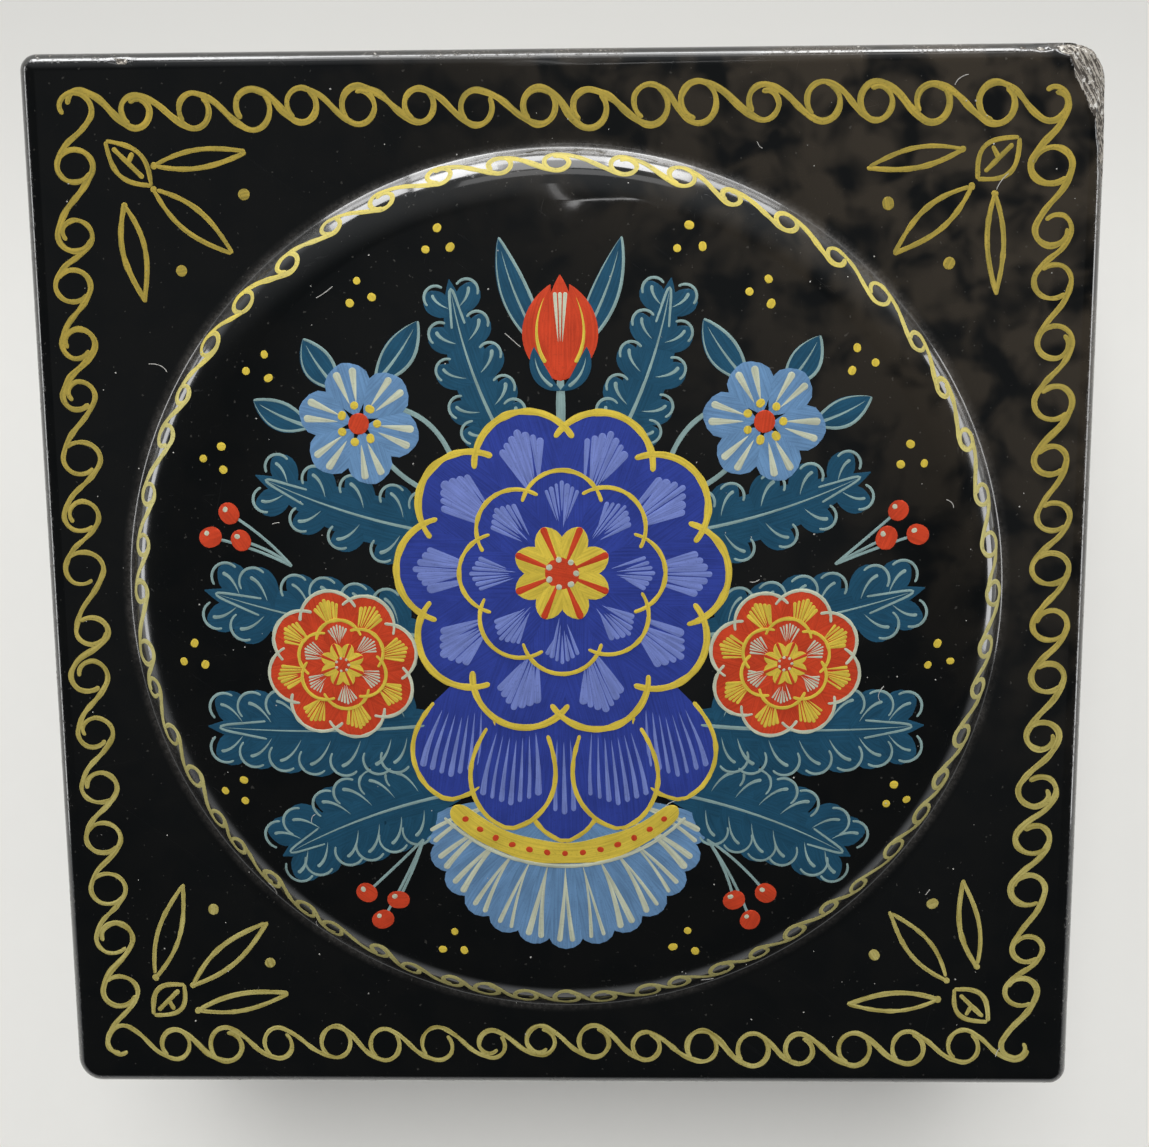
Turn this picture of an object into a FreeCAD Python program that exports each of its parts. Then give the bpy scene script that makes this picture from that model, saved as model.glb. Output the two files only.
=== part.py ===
import FreeCAD, Part
import math
import os

# A square papier-mache box with a hinged lid that carries a low round dome.
# Millimetres and degrees. The box stands on z = 0, with its hinge at the back, towards +Y.

# The box in plan
width = 75.0
depth = 76.0
corner_radius = 1.8
wall = 4.0

# The body: its wall is wound on a former, and its base board lies in a rebate
body_height = 24.0
former_corner_radius = 1.5
base_thickness = 3.0
base_rebate = 1.5
base_round = 0.8
glue_line = 0.05

# The inner collar that the lid closes over
lip_thickness = 1.2
lip_rise = 2.5
lip_chamfer = 0.4
lip_clearance = 0.3

# The lid: a wound frame and a pressed board glued on it
lid_frame_height = 8.0
lid_board_thickness = 3.0
lid_plug_depth = 0.8
lid_edge_round = 1.3
seam_round = 0.3

# The dome pressed up in the board, and the recess behind it
dome_base_radius = 31.35
dome_shoulder_radius = 27.6
dome_shoulder_rise = 2.2
dome_crown_rise = 1.8
dome_valley_round = 0.6
dome_wall = 3.0
recess_round = 1.4
recess_mouth_round = 0.5

# The hinge, let into the back of the rim and of the lid
hinge_length = 42.0
hinge_setback = 0.6
knuckle_count = 5
knuckle_gap = 0.1
barrel_radius = 1.0
barrel_clearance = 0.15
pin_radius = 0.5
pin_clearance = 0.04
pin_end_chamfer = 0.12
leaf_thickness = 0.5
leaf_reach = 2.7
leaf_gap = 0.1
leaf_fit = 0.05
stop_angle = 101.0

# The tacks that hold the two leaves
tack_count = 4
tack_length = 4.0
tack_shank_radius = 0.3
tack_head_radius = 0.55
tack_point_length = 0.7
tack_clearance = 0.02

# How far a cutter reaches past what it cuts, and how close two heights are the same
overrun = 2.0
same_height = 0.001

# Places that follow from the sizes above
lid_board_bottom = body_height + lid_frame_height
lid_plane = lid_board_bottom + lid_board_thickness
plug_bottom = lid_board_bottom - lid_plug_depth
lip_outer_inset = wall + glue_line
lip_inner_inset = lip_outer_inset + lip_thickness
lid_inner_inset = lip_outer_inset - lip_clearance
hinge_y = depth / 2 - hinge_setback
notch_radius = barrel_radius + barrel_clearance
BELOW, ABOVE = -1, 1

X_AXIS = FreeCAD.Vector(1, 0, 0)
Z_AXIS = FreeCAD.Vector(0, 0, 1)


def corner_at(inset):
    """Corner radius of the outline this far inside the outside of the box."""
    if inset == 0:
        return corner_radius
    return former_corner_radius + lip_inner_inset - inset


def outline(inset, z):
    """A rounded rectangle parallel to the outside of the box."""
    half_width = width / 2 - inset
    half_depth = depth / 2 - inset
    radius = corner_at(inset)
    diagonal = radius * math.sin(math.pi / 4)

    arcs = []
    for side_x, side_y in ((1, 1), (-1, 1), (-1, -1), (1, -1)):
        centre = FreeCAD.Vector(side_x * (half_width - radius), side_y * (half_depth - radius), z)
        on_side = centre + FreeCAD.Vector(side_x * radius, 0, 0)
        on_end = centre + FreeCAD.Vector(0, side_y * radius, 0)
        middle = centre + FreeCAD.Vector(side_x * diagonal, side_y * diagonal, 0)
        first, last = (on_side, on_end) if side_x == side_y else (on_end, on_side)
        arcs.append((first, middle, last))

    edges = []
    for (first, middle, last), following in zip(arcs, arcs[1:] + arcs[:1]):
        edges.append(Part.Arc(first, middle, last).toShape())
        edges.append(Part.LineSegment(last, following[0]).toShape())
    return Part.Wire(edges)


def block(inset, z_low, z_high):
    """A solid with the box's plan, from one height to another."""
    return Part.Face(outline(inset, z_low)).extrude(Z_AXIS * (z_high - z_low))


def edges_at(solid, z):
    """The edges of a block that lie at this height."""
    return [e for e in solid.Edges if all(abs(v.Z - z) < same_height for v in e.Vertexes)]


def revolved(*edges):
    """A solid of revolution about the box's middle line, from a closed profile in the XZ plane."""
    face = Part.Face(Part.Wire(list(edges)))
    return face.revolve(FreeCAD.Vector(0, 0, 0), Z_AXIS, 360)


def at(radius, z):
    return FreeCAD.Vector(radius, 0, z)


def path(*points):
    """Straight edges through the points, in order."""
    return [Part.LineSegment(a, b).toShape() for a, b in zip(points, points[1:])]


def arc_about(centre, radius, start, end):
    """The short arc about a centre, from one point to another."""
    towards_middle = (start - centre).normalize() + (end - centre).normalize()
    middle = centre + towards_middle.normalize() * radius
    return Part.Arc(start, middle, end).toShape()


def crown_centre():
    """Centre and radius of the dome's crown, a shallow cap on the shoulder circle."""
    radius = (dome_shoulder_radius ** 2 + dome_crown_rise ** 2) / (2 * dome_crown_rise)
    top = lid_plane + dome_shoulder_rise + dome_crown_rise
    return at(0, top - radius), radius


def dome():
    """The raised dome: crown, a flank tangent to it, and a small valley where it meets the lid."""
    crown, crown_radius = crown_centre()
    shoulder = at(dome_shoulder_radius, lid_plane + dome_shoulder_rise)
    base = at(dome_base_radius, lid_plane)

    outward = (shoulder - crown).normalize()
    span = base - shoulder
    flank_radius = -span.dot(span) / (2 * span.dot(outward))
    flank = shoulder - outward * flank_radius

    rise = dome_valley_round - (flank.z - lid_plane)
    reach = math.sqrt((flank_radius + dome_valley_round) ** 2 - rise ** 2)
    valley = at(flank.x + reach, lid_plane + dome_valley_round)
    flank_foot = flank + (valley - flank).normalize() * flank_radius
    valley_foot = at(valley.x, lid_plane)
    buried = lid_plane - lid_board_thickness / 2

    top = at(0, crown.z + crown_radius)
    return revolved(
        arc_about(crown, crown_radius, top, shoulder),
        arc_about(flank, flank_radius, shoulder, flank_foot),
        arc_about(valley, dome_valley_round, flank_foot, valley_foot),
        *path(valley_foot, at(valley.x, buried), at(0, buried), top),
    )


def recess():
    """The hollow behind the dome: straight sides, a rounded top corner and a crown like the dome's."""
    crown, crown_radius = crown_centre()
    ceiling_radius = crown_radius - dome_wall
    side = dome_base_radius - dome_wall
    mouth = side + recess_mouth_round

    corner_x = side - recess_round
    corner = at(corner_x, crown.z + math.sqrt((ceiling_radius - recess_round) ** 2 - corner_x ** 2))
    side_top = at(side, corner.z)
    ceiling_edge = crown + (corner - crown).normalize() * ceiling_radius
    ceiling = at(0, crown.z + ceiling_radius)

    below = plug_bottom - overrun
    lip_start = at(mouth, plug_bottom)
    lip_end = at(side, plug_bottom + recess_mouth_round)
    return revolved(
        *path(at(0, below), at(mouth, below), lip_start),
        arc_about(at(mouth, lip_end.z), recess_mouth_round, lip_start, lip_end),
        *path(lip_end, side_top),
        arc_about(corner, recess_round, side_top, ceiling_edge),
        arc_about(crown, ceiling_radius, ceiling_edge, ceiling),
        *path(ceiling, at(0, below)),
    )


def pin_cylinder(radius, x_low, x_high):
    """A cylinder about the hinge pin's line."""
    return Part.makeCylinder(radius, x_high - x_low, FreeCAD.Vector(x_low, hinge_y, body_height), X_AXIS)


def hinge_box(half_length, reach_from, reach_to, lift_from, lift_to):
    """A box along the hinge. Reaches run forwards from the pin's line, lifts upwards from it."""
    low = FreeCAD.Vector(-half_length, hinge_y - reach_from, body_height + min(lift_from, lift_to))
    return Part.makeBox(2 * half_length, reach_from - reach_to, abs(lift_to - lift_from), low)


def back_bevel(side):
    """What the back edge of the rim or of the lid gives up, so that the lid can lean back."""
    outward = hinge_setback + overrun
    drop = outward * math.tan(math.radians(stop_angle / 2))
    start = FreeCAD.Vector(-width / 2 - overrun, hinge_y, body_height)
    level = start + FreeCAD.Vector(0, outward, 0)
    slope = level + Z_AXIS * side * drop
    triangle = Part.Face(Part.makePolygon([start, level, slope, start]))
    return triangle.extrude(X_AXIS * (width + 2 * overrun))


def tack_places():
    y = hinge_y - (leaf_reach + notch_radius) / 2
    step = hinge_length / tack_count
    return [(step * (i + 0.5) - hinge_length / 2, y) for i in range(tack_count)]


def tacks(side, clearance=0.0):
    """Countersunk tacks driven into the rim or the lid. With a clearance they are their own holes."""
    head = tack_head_radius + clearance
    shank = tack_shank_radius + clearance
    point = tack_length + clearance
    countersink = tack_head_radius - tack_shank_radius
    straight = tack_length - tack_point_length
    if clearance:
        points = [at(0, -leaf_gap), at(head, -leaf_gap), at(head, 0)]
    else:
        points = [at(0, 0), at(head, 0)]
    points += [at(shank, countersink), at(shank, straight), at(0, point), points[0]]
    tack = revolved(*path(*points))
    if side == BELOW:
        tack.rotate(FreeCAD.Vector(0, 0, 0), X_AXIS, 180)

    copies = []
    for x, y in tack_places():
        copy = tack.copy()
        copy.translate(FreeCAD.Vector(x, y, body_height + side * leaf_gap / 2))
        copies.append(copy)
    return Part.makeCompound(copies)


def hinge_seat(side):
    """What the hinge takes out of the rim or the lid: barrel notch, mortise and tack holes."""
    half = hinge_length / 2
    notch = pin_cylinder(notch_radius, -half - barrel_clearance, half + barrel_clearance)
    floor = side * (leaf_gap / 2 + leaf_thickness)
    mortise = hinge_box(half + leaf_fit, leaf_reach + leaf_fit, 0, -side * overrun, floor)
    return [back_bevel(side), notch, mortise, tacks(side, tack_clearance)]


def cut_all(solid, cutters):
    for cutter in cutters:
        solid = solid.cut(cutter)
    return solid


def body_wall():
    solid = block(0, 0, body_height)
    solid = solid.makeFillet(base_round, edges_at(solid, 0))
    solid = solid.makeFillet(seam_round, edges_at(solid, body_height))
    inside = block(wall, -overrun, body_height + overrun)
    rebate = block(wall - base_rebate, -overrun, base_thickness)
    return cut_all(solid, [inside, rebate] + hinge_seat(BELOW))


def base_board():
    return block(wall - base_rebate + glue_line, 0, base_thickness)


def lip_collar():
    top = body_height + lip_rise
    solid = block(lip_outer_inset, base_thickness, top)
    solid = solid.makeChamfer(lip_chamfer, edges_at(solid, top))
    return solid.cut(block(lip_inner_inset, base_thickness - overrun, top + overrun))


def lid_frame():
    solid = block(0, body_height, lid_board_bottom)
    solid = solid.makeFillet(seam_round, edges_at(solid, body_height))
    inside = block(lid_inner_inset, body_height - overrun, lid_board_bottom + overrun)
    return cut_all(solid, [inside] + hinge_seat(ABOVE))


def lid_board():
    board = block(0, lid_board_bottom, lid_plane)
    board = board.makeFillet(lid_edge_round, edges_at(board, lid_plane))
    plug = block(lid_inner_inset + glue_line, plug_bottom, lid_board_bottom + lid_board_thickness / 2)
    return board.fuse([plug, dome()]).cut(recess()).removeSplitter()


def hinge_leaf(side, knuckles):
    """A flat leaf, and the knuckles that are its own."""
    half = hinge_length / 2
    face = side * leaf_gap / 2
    back = side * (leaf_gap / 2 + leaf_thickness)
    pitch = hinge_length / knuckle_count
    leaf = hinge_box(half, leaf_reach, notch_radius, face, back)
    for i in knuckles:
        low = i * pitch - half + (knuckle_gap / 2 if i > 0 else 0)
        high = (i + 1) * pitch - half - (knuckle_gap / 2 if i < knuckle_count - 1 else 0)
        tongue = hinge_box((high - low) / 2, leaf_reach, 0, face, back)
        tongue.translate(X_AXIS * ((low + high) / 2))
        leaf = leaf.fuse([tongue, pin_cylinder(barrel_radius, low, high)])
    bore = pin_cylinder(pin_radius + pin_clearance, -half - overrun, half + overrun)
    return leaf.cut(bore).cut(tacks(side, tack_clearance)).removeSplitter()


def hinge_pin():
    pin = pin_cylinder(pin_radius, -hinge_length / 2, hinge_length / 2)
    ends = [e for e in pin.Edges if e.BoundBox.XLength < same_height]
    return pin.makeChamfer(pin_end_chamfer, ends)


pieces = {
    "body_wall": body_wall(),
    "base_board": base_board(),
    "lip_collar": lip_collar(),
    "hinge_body_leaf": hinge_leaf(BELOW, range(0, knuckle_count, 2)),
    "hinge_pin": hinge_pin(),
    "hinge_body_tacks": tacks(BELOW),
    "lid_frame": lid_frame(),
    "lid_board": lid_board(),
    "hinge_lid_leaf": hinge_leaf(ABOVE, range(1, knuckle_count, 2)),
    "hinge_lid_tacks": tacks(ABOVE),
}

os.makedirs("parts", exist_ok=True)
for name, shape in pieces.items():
    shape.exportStep(os.path.join("parts", name + ".step"))
    print(name, len(shape.Solids), "solids", round(shape.Volume, 2), "mm3", shape.isValid())
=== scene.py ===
import random
from math import asin, atan2, copysign, cos, hypot, pi, radians, sin, sqrt, tan, tau

import bpy
from bpy.props import FloatProperty, FloatVectorProperty, IntProperty, PointerProperty
from bpy.types import Operator, Panel, PropertyGroup
from mathutils import Matrix, Vector, noise


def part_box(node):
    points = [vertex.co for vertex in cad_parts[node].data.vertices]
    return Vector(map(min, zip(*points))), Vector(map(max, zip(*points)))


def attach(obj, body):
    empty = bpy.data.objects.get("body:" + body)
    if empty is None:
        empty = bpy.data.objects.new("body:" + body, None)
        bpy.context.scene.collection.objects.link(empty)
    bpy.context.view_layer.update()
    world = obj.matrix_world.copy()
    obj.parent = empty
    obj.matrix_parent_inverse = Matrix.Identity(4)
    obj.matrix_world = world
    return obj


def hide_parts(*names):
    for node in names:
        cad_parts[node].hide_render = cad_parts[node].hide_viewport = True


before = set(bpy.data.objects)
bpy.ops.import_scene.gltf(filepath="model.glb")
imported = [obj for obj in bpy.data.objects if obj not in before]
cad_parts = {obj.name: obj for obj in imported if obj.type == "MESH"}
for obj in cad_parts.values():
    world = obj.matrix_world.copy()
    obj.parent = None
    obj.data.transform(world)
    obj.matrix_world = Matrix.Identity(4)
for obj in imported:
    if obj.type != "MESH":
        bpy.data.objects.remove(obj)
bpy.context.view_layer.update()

bl_info = {
    "name": "Lacquer box",
    "version": (1, 0, 0),
    "blender": (4, 5, 0),
    "location": "3D View > Sidebar > Lacquer box",
    "description": "Dresses a black lacquer box: worn gloss, gold scrolls, and flowers on its domed lid",
    "category": "Object",
}

MM = 0.001
MICRON = 0.001 * MM

board_low, board_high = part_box("lid_board")
HALF_WIDTH = board_high.x
HALF_DEPTH = board_high.y
BOARD_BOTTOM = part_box("lid_frame")[1].z
PLUG_BOTTOM = board_low.z
# The lid board's underside and the wall of its frame, as in the CAD model
CORNER_RADIUS = 1.8 * MM
FRAME_WALL = 3.75 * MM
PLUG_INSET = 3.8 * MM
PLUG_CORNER = 2.95 * MM
DOME_WALL = 3.0 * MM
RECESS_ROUND = 1.4 * MM
MOUTH_ROUND = 0.5 * MM


def length(name, description, millimetres):
    return FloatProperty(name=name, description=description, default=millimetres * MM, unit="LENGTH")


def count(name, description, value):
    return IntProperty(name=name, description=description, default=value)


def linear(code):
    """Linear red, green and blue of a colour written as #RRGGBB."""
    channels = [int(code[i:i + 2], 16) / 255 for i in (1, 3, 5)]
    return tuple(c / 12.92 if c <= 0.04045 else ((c + 0.055) / 1.055) ** 2.4 for c in channels)


def colour(name, description, code):
    return FloatVectorProperty(
        name=name, description=description, default=linear(code), subtype="COLOR", min=0.0, max=1.0
    )


class LidSizes(PropertyGroup):
    shoulder_radius: length("Dome shoulder", "Radius where the dome's crown turns down", 27.6)
    base_radius: length("Dome base", "Radius of the dome at the flat of the lid", 31.35)
    shoulder_rise: length("Shoulder rise", "Height of the dome's shoulder above the flat", 2.2)
    crown_rise: length("Crown rise", "Height of the dome's middle above its shoulder", 1.8)
    valley_round: length("Valley round", "Radius of the hollow line round the dome", 0.6)
    edge_round: length("Edge round", "Radius along the lid's top edge", 1.3)
    ripple: length("Ripple", "How far the polished lacquer strays from true", 0.014)
    ripple_span: length("Ripple span", "How far apart the swells of the lacquer lie", 13.0)


class WearSizes(PropertyGroup):
    corner_radii: FloatVectorProperty(
        name="Worn corners", description="Radii: back right, back left, front left, front right",
        size=4, default=(2.8 * MM, 1.2 * MM, 1.9 * MM, 1.3 * MM), unit="LENGTH"
    )
    facet_drop: length("Facet drop", "How far down the most worn corner is rubbed away", 1.8)
    roughness: length("Board roughness", "Height of the torn fibres of bare board", 0.20)


class ScrollSizes(PropertyGroup):
    loops: count("Loops a side", "Scroll loops along each side of the lid", 18)
    loop_radius: length("Loop radius", "Radius of a border loop", 1.14)
    line: length("Line width", "Width of the gold line of the border", 0.41)
    side_bow: length("Bow of the sides", "How far the left and right borders bow outward", 1.05)
    wander: length("Wander", "How far the painter's hand strays from an even border", 0.17)
    ring_loops: count("Ring loops", "Scroll loops round the dome", 54)
    ring_radius: length("Ring loop radius", "Half the length of a loop of the ring", 0.80)
    ring_line: length("Ring line width", "Width of the yellow line round the dome", 0.38)
    ring_height: length("Ring height", "How far up the flank the ring of scrolls runs", 1.15)
    sprig_line: length("Sprig line width", "Width of the gold line of the corner sprigs", 0.39)
    film: length("Paint film", "Thickness of one coat of paint", 0.010)


class PaintColours(PropertyGroup):
    gold: colour("Gold", "Gold of the border and the sprigs", "#C6AC4C")
    gold_pale: colour("Pale gold", "Gold that has worn pale, towards the front", "#C6BC76")
    gold_shade: colour("Gold shade", "Thin or dirty gold", "#8F823F")
    ring: colour("Ring yellow", "Yellow of the scrolls round the dome", "#CDBA50")
    ring_pale: colour("Pale ring yellow", "The same yellow, worn pale", "#C8C07E")
    ring_shade: colour("Ring shade", "The same yellow where it is thin", "#A2995C")
    yellow: colour("Yellow", "Petal edges and dots", "#E0C64C")
    cobalt: colour("Cobalt", "Large petals", "#34449A")
    sky: colour("Sky blue", "Light strokes on the blue petals", "#7A8ACE")
    teal: colour("Teal", "Leaves", "#23506A")
    mist: colour("Mist", "Veins and edges of the leaves", "#8FAAA8")
    pale: colour("Pale blue", "Small flowers and commas", "#6C93BC")
    red: colour("Orange red", "Berries and flower hearts", "#D0472A")
    cream: colour("Cream", "Highlights", "#CBD0B8")


class LacquerColours(PropertyGroup):
    black: colour("Black", "Black lacquer", "#090B0C")
    # Colour of the painted reflection: olive-brown patches of the room laid into the black at the back
    # right of the lid.
    cloud: colour("Cloud", "Olive brown cloud in the black", "#38322A")
    red: colour("Red", "Red lacquer inside the box", "#A51A12")
    red_shade: colour("Deep red", "Darker brush marks in the red", "#6E0E0B")
    board: colour("Bare board", "Papier-mache where the lacquer is gone", "#A39D93")
    # The dark of the bare board: it goes where its fibres and clumps lie low.
    board_dark: colour("Dirt in the board", "Dirt in the bare board", "#3E3832")
    floor: colour("Floor", "Pale floor", "#DFDEDA")


def settings():
    return bpy.context.scene.lacquer_box


def heading(turn):
    return Vector((cos(turn), sin(turn)))


def leftward(way):
    return Vector((-way.y, way.x)).normalized()


class LidSurface:
    """The lid's upper surface: a flat board, a small valley, a steep flank and a shallow crown."""

    def __init__(self):
        sizes = self.sizes = settings().lid
        self.plane = board_high.z - sizes.shoulder_rise - sizes.crown_rise
        self.crown_radius = (sizes.shoulder_radius ** 2 + sizes.crown_rise ** 2) / (2 * sizes.crown_rise)
        self.crown = Vector((0, board_high.z - self.crown_radius))
        self.shoulder_tilt = asin(sizes.shoulder_radius / self.crown_radius)

        shoulder = Vector((sizes.shoulder_radius, self.plane + sizes.shoulder_rise))
        outward = Vector((sin(self.shoulder_tilt), cos(self.shoulder_tilt)))
        span = Vector((sizes.base_radius, self.plane)) - shoulder
        self.flank_radius = -span.length_squared / (2 * span.dot(outward))
        self.flank = shoulder - outward * self.flank_radius

        rise = sizes.valley_round - (self.flank.y - self.plane)
        reach = sqrt((self.flank_radius + sizes.valley_round) ** 2 - rise ** 2)
        self.valley = Vector((self.flank.x + reach, self.plane + sizes.valley_round))
        self.foot_tilt = atan2(reach, rise)
        self.foot_radius = self.flank.x + self.flank_radius * sin(self.foot_tilt)

        self.crown_run = self.crown_radius * self.shoulder_tilt
        self.base_run = self.crown_run + self.flank_radius * (self.foot_tilt - self.shoulder_tilt)
        self.valley_run = sizes.valley_round * self.foot_tilt

    def ripple(self, x, y):
        place = Vector((x, y, 0)) / self.sizes.ripple_span
        return self.sizes.ripple * (noise.noise(place) + 0.3 * noise.noise(place * 3.1))

    def raised(self, radius, z, tilt, azimuth, lift):
        """The surface point lifted along its normal, with the lacquer's ripple."""
        along_x, along_y = cos(azimuth), sin(azimuth)
        x, y = radius * along_x, radius * along_y
        lift += self.ripple(x, y)
        out = lift * sin(tilt)
        return Vector((x + out * along_x, y + out * along_y, z + lift * cos(tilt)))

    def on_dome(self, run, azimuth, lift=0.0):
        """The surface point at this distance from the middle, measured along the surface."""
        if run <= self.crown_run:
            centre, curve, tilt = self.crown, self.crown_radius, run / self.crown_radius
        elif run <= self.base_run:
            centre, curve = self.flank, self.flank_radius
            tilt = self.shoulder_tilt + (run - self.crown_run) / curve
        else:
            centre, curve = self.valley, -self.sizes.valley_round
            tilt = max(self.foot_tilt + (run - self.base_run) / curve, 0.0)
        return self.raised(centre.x + curve * sin(tilt), centre.y + curve * cos(tilt), tilt, azimuth, lift)

    def on_plate(self, x, y, lift=0.0):
        """The surface point above x and y, anywhere on the lid."""
        radius = hypot(x, y)
        if radius >= self.valley.x:
            return self.raised(radius, self.plane, 0.0, atan2(y, x), lift)
        if radius > self.foot_radius:
            centre, curve = self.valley, -self.sizes.valley_round
        elif radius > self.sizes.shoulder_radius:
            centre, curve = self.flank, self.flank_radius
        else:
            centre, curve = self.crown, self.crown_radius
        tilt = asin((radius - centre.x) / curve)
        return self.raised(radius, centre.y + curve * cos(tilt), tilt, atan2(y, x), lift)


# The lid board as a mesh of rings. Every ring has one point for each sample of the outline.
CORNER_SIGNS = ((1, 1), (-1, 1), (-1, -1), (1, -1))
CORNER_STEPS = 22
SIDE_STEPS = 128
CROWDING_SHARE = 0.55
LEAST_RADIUS = 0.12 * MM
CROWN_RINGS, FLANK_RINGS, VALLEY_RINGS, FLAT_RINGS, EDGE_RINGS, SIDE_RINGS = 28, 26, 6, 27, 12, 7
MOUTH_RINGS, RECESS_RINGS, CEILING_RINGS = 4, 7, 14


def side_shares():
    """Where the samples of a side lie, closer together towards its ends."""
    even = [i / SIDE_STEPS for i in range(1, SIDE_STEPS)]
    return [(1 - CROWDING_SHARE) * t + CROWDING_SHARE * (0.5 - 0.5 * cos(pi * t)) for t in even]


def outline(inset, radii):
    """The lid's plan at an inset from its outside, with a radius for each corner, anticlockwise."""
    arcs = []
    for i, (sign_x, sign_y) in enumerate(CORNER_SIGNS):
        radius = max(radii[i] - inset, LEAST_RADIUS)
        centre = Vector((sign_x * (HALF_WIDTH - inset - radius), sign_y * (HALF_DEPTH - inset - radius)))
        turns = [(i + k / CORNER_STEPS) * pi / 2 for k in range(CORNER_STEPS + 1)]
        arcs.append([centre + radius * heading(turn) for turn in turns])
    points = []
    for arc, following in zip(arcs, arcs[1:] + arcs[:1]):
        points += arc
        points += [arc[-1].lerp(following[0], t) for t in side_shares()]
    return points


def level(plan, z):
    return [Vector((p.x, p.y, z)) for p in plan]


def between(first, last, steps, ease=1.0):
    """Steps from one value to another, leaving out the first. An ease over 1 crowds them at the end."""
    return [last + (first - last) * (1 - i / steps) ** ease for i in range(1, steps + 1)]


# Planes that cut the worn edges: how far left, forward and, as a share of the facet's drop, down from
# the back right corner of the lid's top, where they face, and how far past them the lacquer is gone
FACETS = (
    (0.0, 0.0, 1.0, (0.45, 0.21, 0.87), 0.0),
    (0.95, 0.85, 0.6, (0.62, 0.72, 0.30), 0.35),
    (0.0, 8.5, 0.53, (0.80, 0.06, 0.60), 0.05),
    (4.0, 0.0, 0.66, (0.09, 0.80, 0.60), -0.1),
    (75.0, 0.0, 0.30, (-0.46, 0.48, 0.75), 0.0),
)
# Small chips, from the same corner, and their radius
CHIPS = (((67.7, 0.6, 0.1), 0.4), ((6.0, 0.4, 0.4), 0.2), ((0.0, 69.5, 1.3), 0.5))
# As shares of a chip's radius: how far it is pushed in, how far it strays from round, and its rim
CHIP_DEPTH, CHIP_JAGS, CHIP_RIM = 0.28, 0.35, 0.25
CHIP_JAG_SPAN = 0.3 * MM
CHIP_SLOPE = Vector((0, 0, 0.8))
# How ragged the edge of the torn lacquer is, as a share of the board's roughness, and over what
# height the board turns bare and its fibres rise
TORN_JAGS = 1.2
TORN_JAG_SPAN = 0.8 * MM
BARE_OVER, FIBRES_OVER = 0.12 * MM, 0.25 * MM
# Which way the fibres run, how much they are drawn out, and how far apart they lie, with their height
# as a share of the board's roughness
TORN_ALONG = Vector((0.50, -0.87, 0.0))
TORN_STRETCH = 0.80
FIBRES = ((0.7 * MM, 0.7), (0.24 * MM, 0.6))


class Wear:
    """What handling has taken off the lid: one torn corner, a rubbed one, and chips on the edge."""

    def __init__(self, surface):
        self.roughness = settings().wear.roughness
        drop = settings().wear.facet_drop
        corner = Vector((HALF_WIDTH, HALF_DEPTH, surface.plane))
        self.facets = [
            (corner - Vector((x * MM, y * MM, down * drop)), Vector(normal).normalized(), spread * MM)
            for x, y, down, normal, spread in FACETS
        ]
        self.chips = [(corner - Vector(place) * MM, radius * MM) for place, radius in CHIPS]

    def fibres(self, point):
        """Torn layers of board, drawn out along the rubbed edge."""
        drawn = point - TORN_ALONG * point.dot(TORN_ALONG) * TORN_STRETCH
        return self.roughness * sum(share * noise.noise(drawn / span) for span, share in FIBRES)

    def rub(self, point):
        """The point after wear, and how bare it is, from 0 to 1."""
        bare = 0.0
        for place, normal, spread in self.facets:
            above = (point - place).dot(normal)
            ragged = above + spread + TORN_JAGS * self.roughness * noise.noise(point / TORN_JAG_SPAN)
            if ragged > 0:
                depth = max(above, 0) + self.fibres(point) * min(max(above + spread, 0) / FIBRES_OVER, 1)
                point = point - normal * depth
                bare = max(bare, min(ragged / BARE_OVER, 1))
        for place, radius in self.chips:
            reach = (point - place).length / radius + CHIP_JAGS * noise.noise(point / CHIP_JAG_SPAN)
            if reach < 1:
                inward = Vector((point.x, point.y, 0)).normalized() + CHIP_SLOPE
                point = point - inward * radius * CHIP_DEPTH * (1 - reach * reach)
                bare = max(bare, min((1 - reach) / CHIP_RIM, 1))
        return point, bare


def azimuths(surface):
    return [atan2(p.y, p.x) for p in outline(surface.sizes.edge_round, settings().wear.corner_radii)]


def top_rings(surface):
    """Rings of worn points from the crown's middle, over the edge and down to the lid's frame."""
    sizes, worn = surface.sizes, settings().wear.corner_radii
    shoulder = outline(sizes.edge_round, worn)
    around = azimuths(surface)
    runs = between(0.0, surface.crown_run, CROWN_RINGS)
    runs += between(surface.crown_run, surface.base_run, FLANK_RINGS)
    runs += between(surface.base_run, surface.base_run + surface.valley_run, VALLEY_RINGS)
    rings = [[surface.on_dome(run, a) for a in around] for run in runs]
    for t in between(0.0, 1.0, FLAT_RINGS, ease=1.5):
        plan = [(heading(a) * surface.valley.x).lerp(p, t) for p, a in zip(shoulder, around)]
        rings.append([surface.on_plate(p.x, p.y) for p in plan])
    for turn in between(0.0, pi / 2, EDGE_RINGS):
        plan = outline(sizes.edge_round * (1 - sin(turn)), worn)
        z = surface.plane - sizes.edge_round * (1 - cos(turn))
        rings.append([Vector((p.x, p.y, z + cos(turn) * surface.ripple(p.x, p.y))) for p in plan])
    side_top = surface.plane - sizes.edge_round
    for t in between(0.0, 1.0, SIDE_RINGS):
        radii = [radius + (CORNER_RADIUS - radius) * t for radius in worn]
        rings.append(level(outline(0, radii), side_top + (BOARD_BOTTOM - side_top) * t))
    wear = Wear(surface)
    return [[wear.rub(p) for p in ring] for ring in rings]


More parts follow.
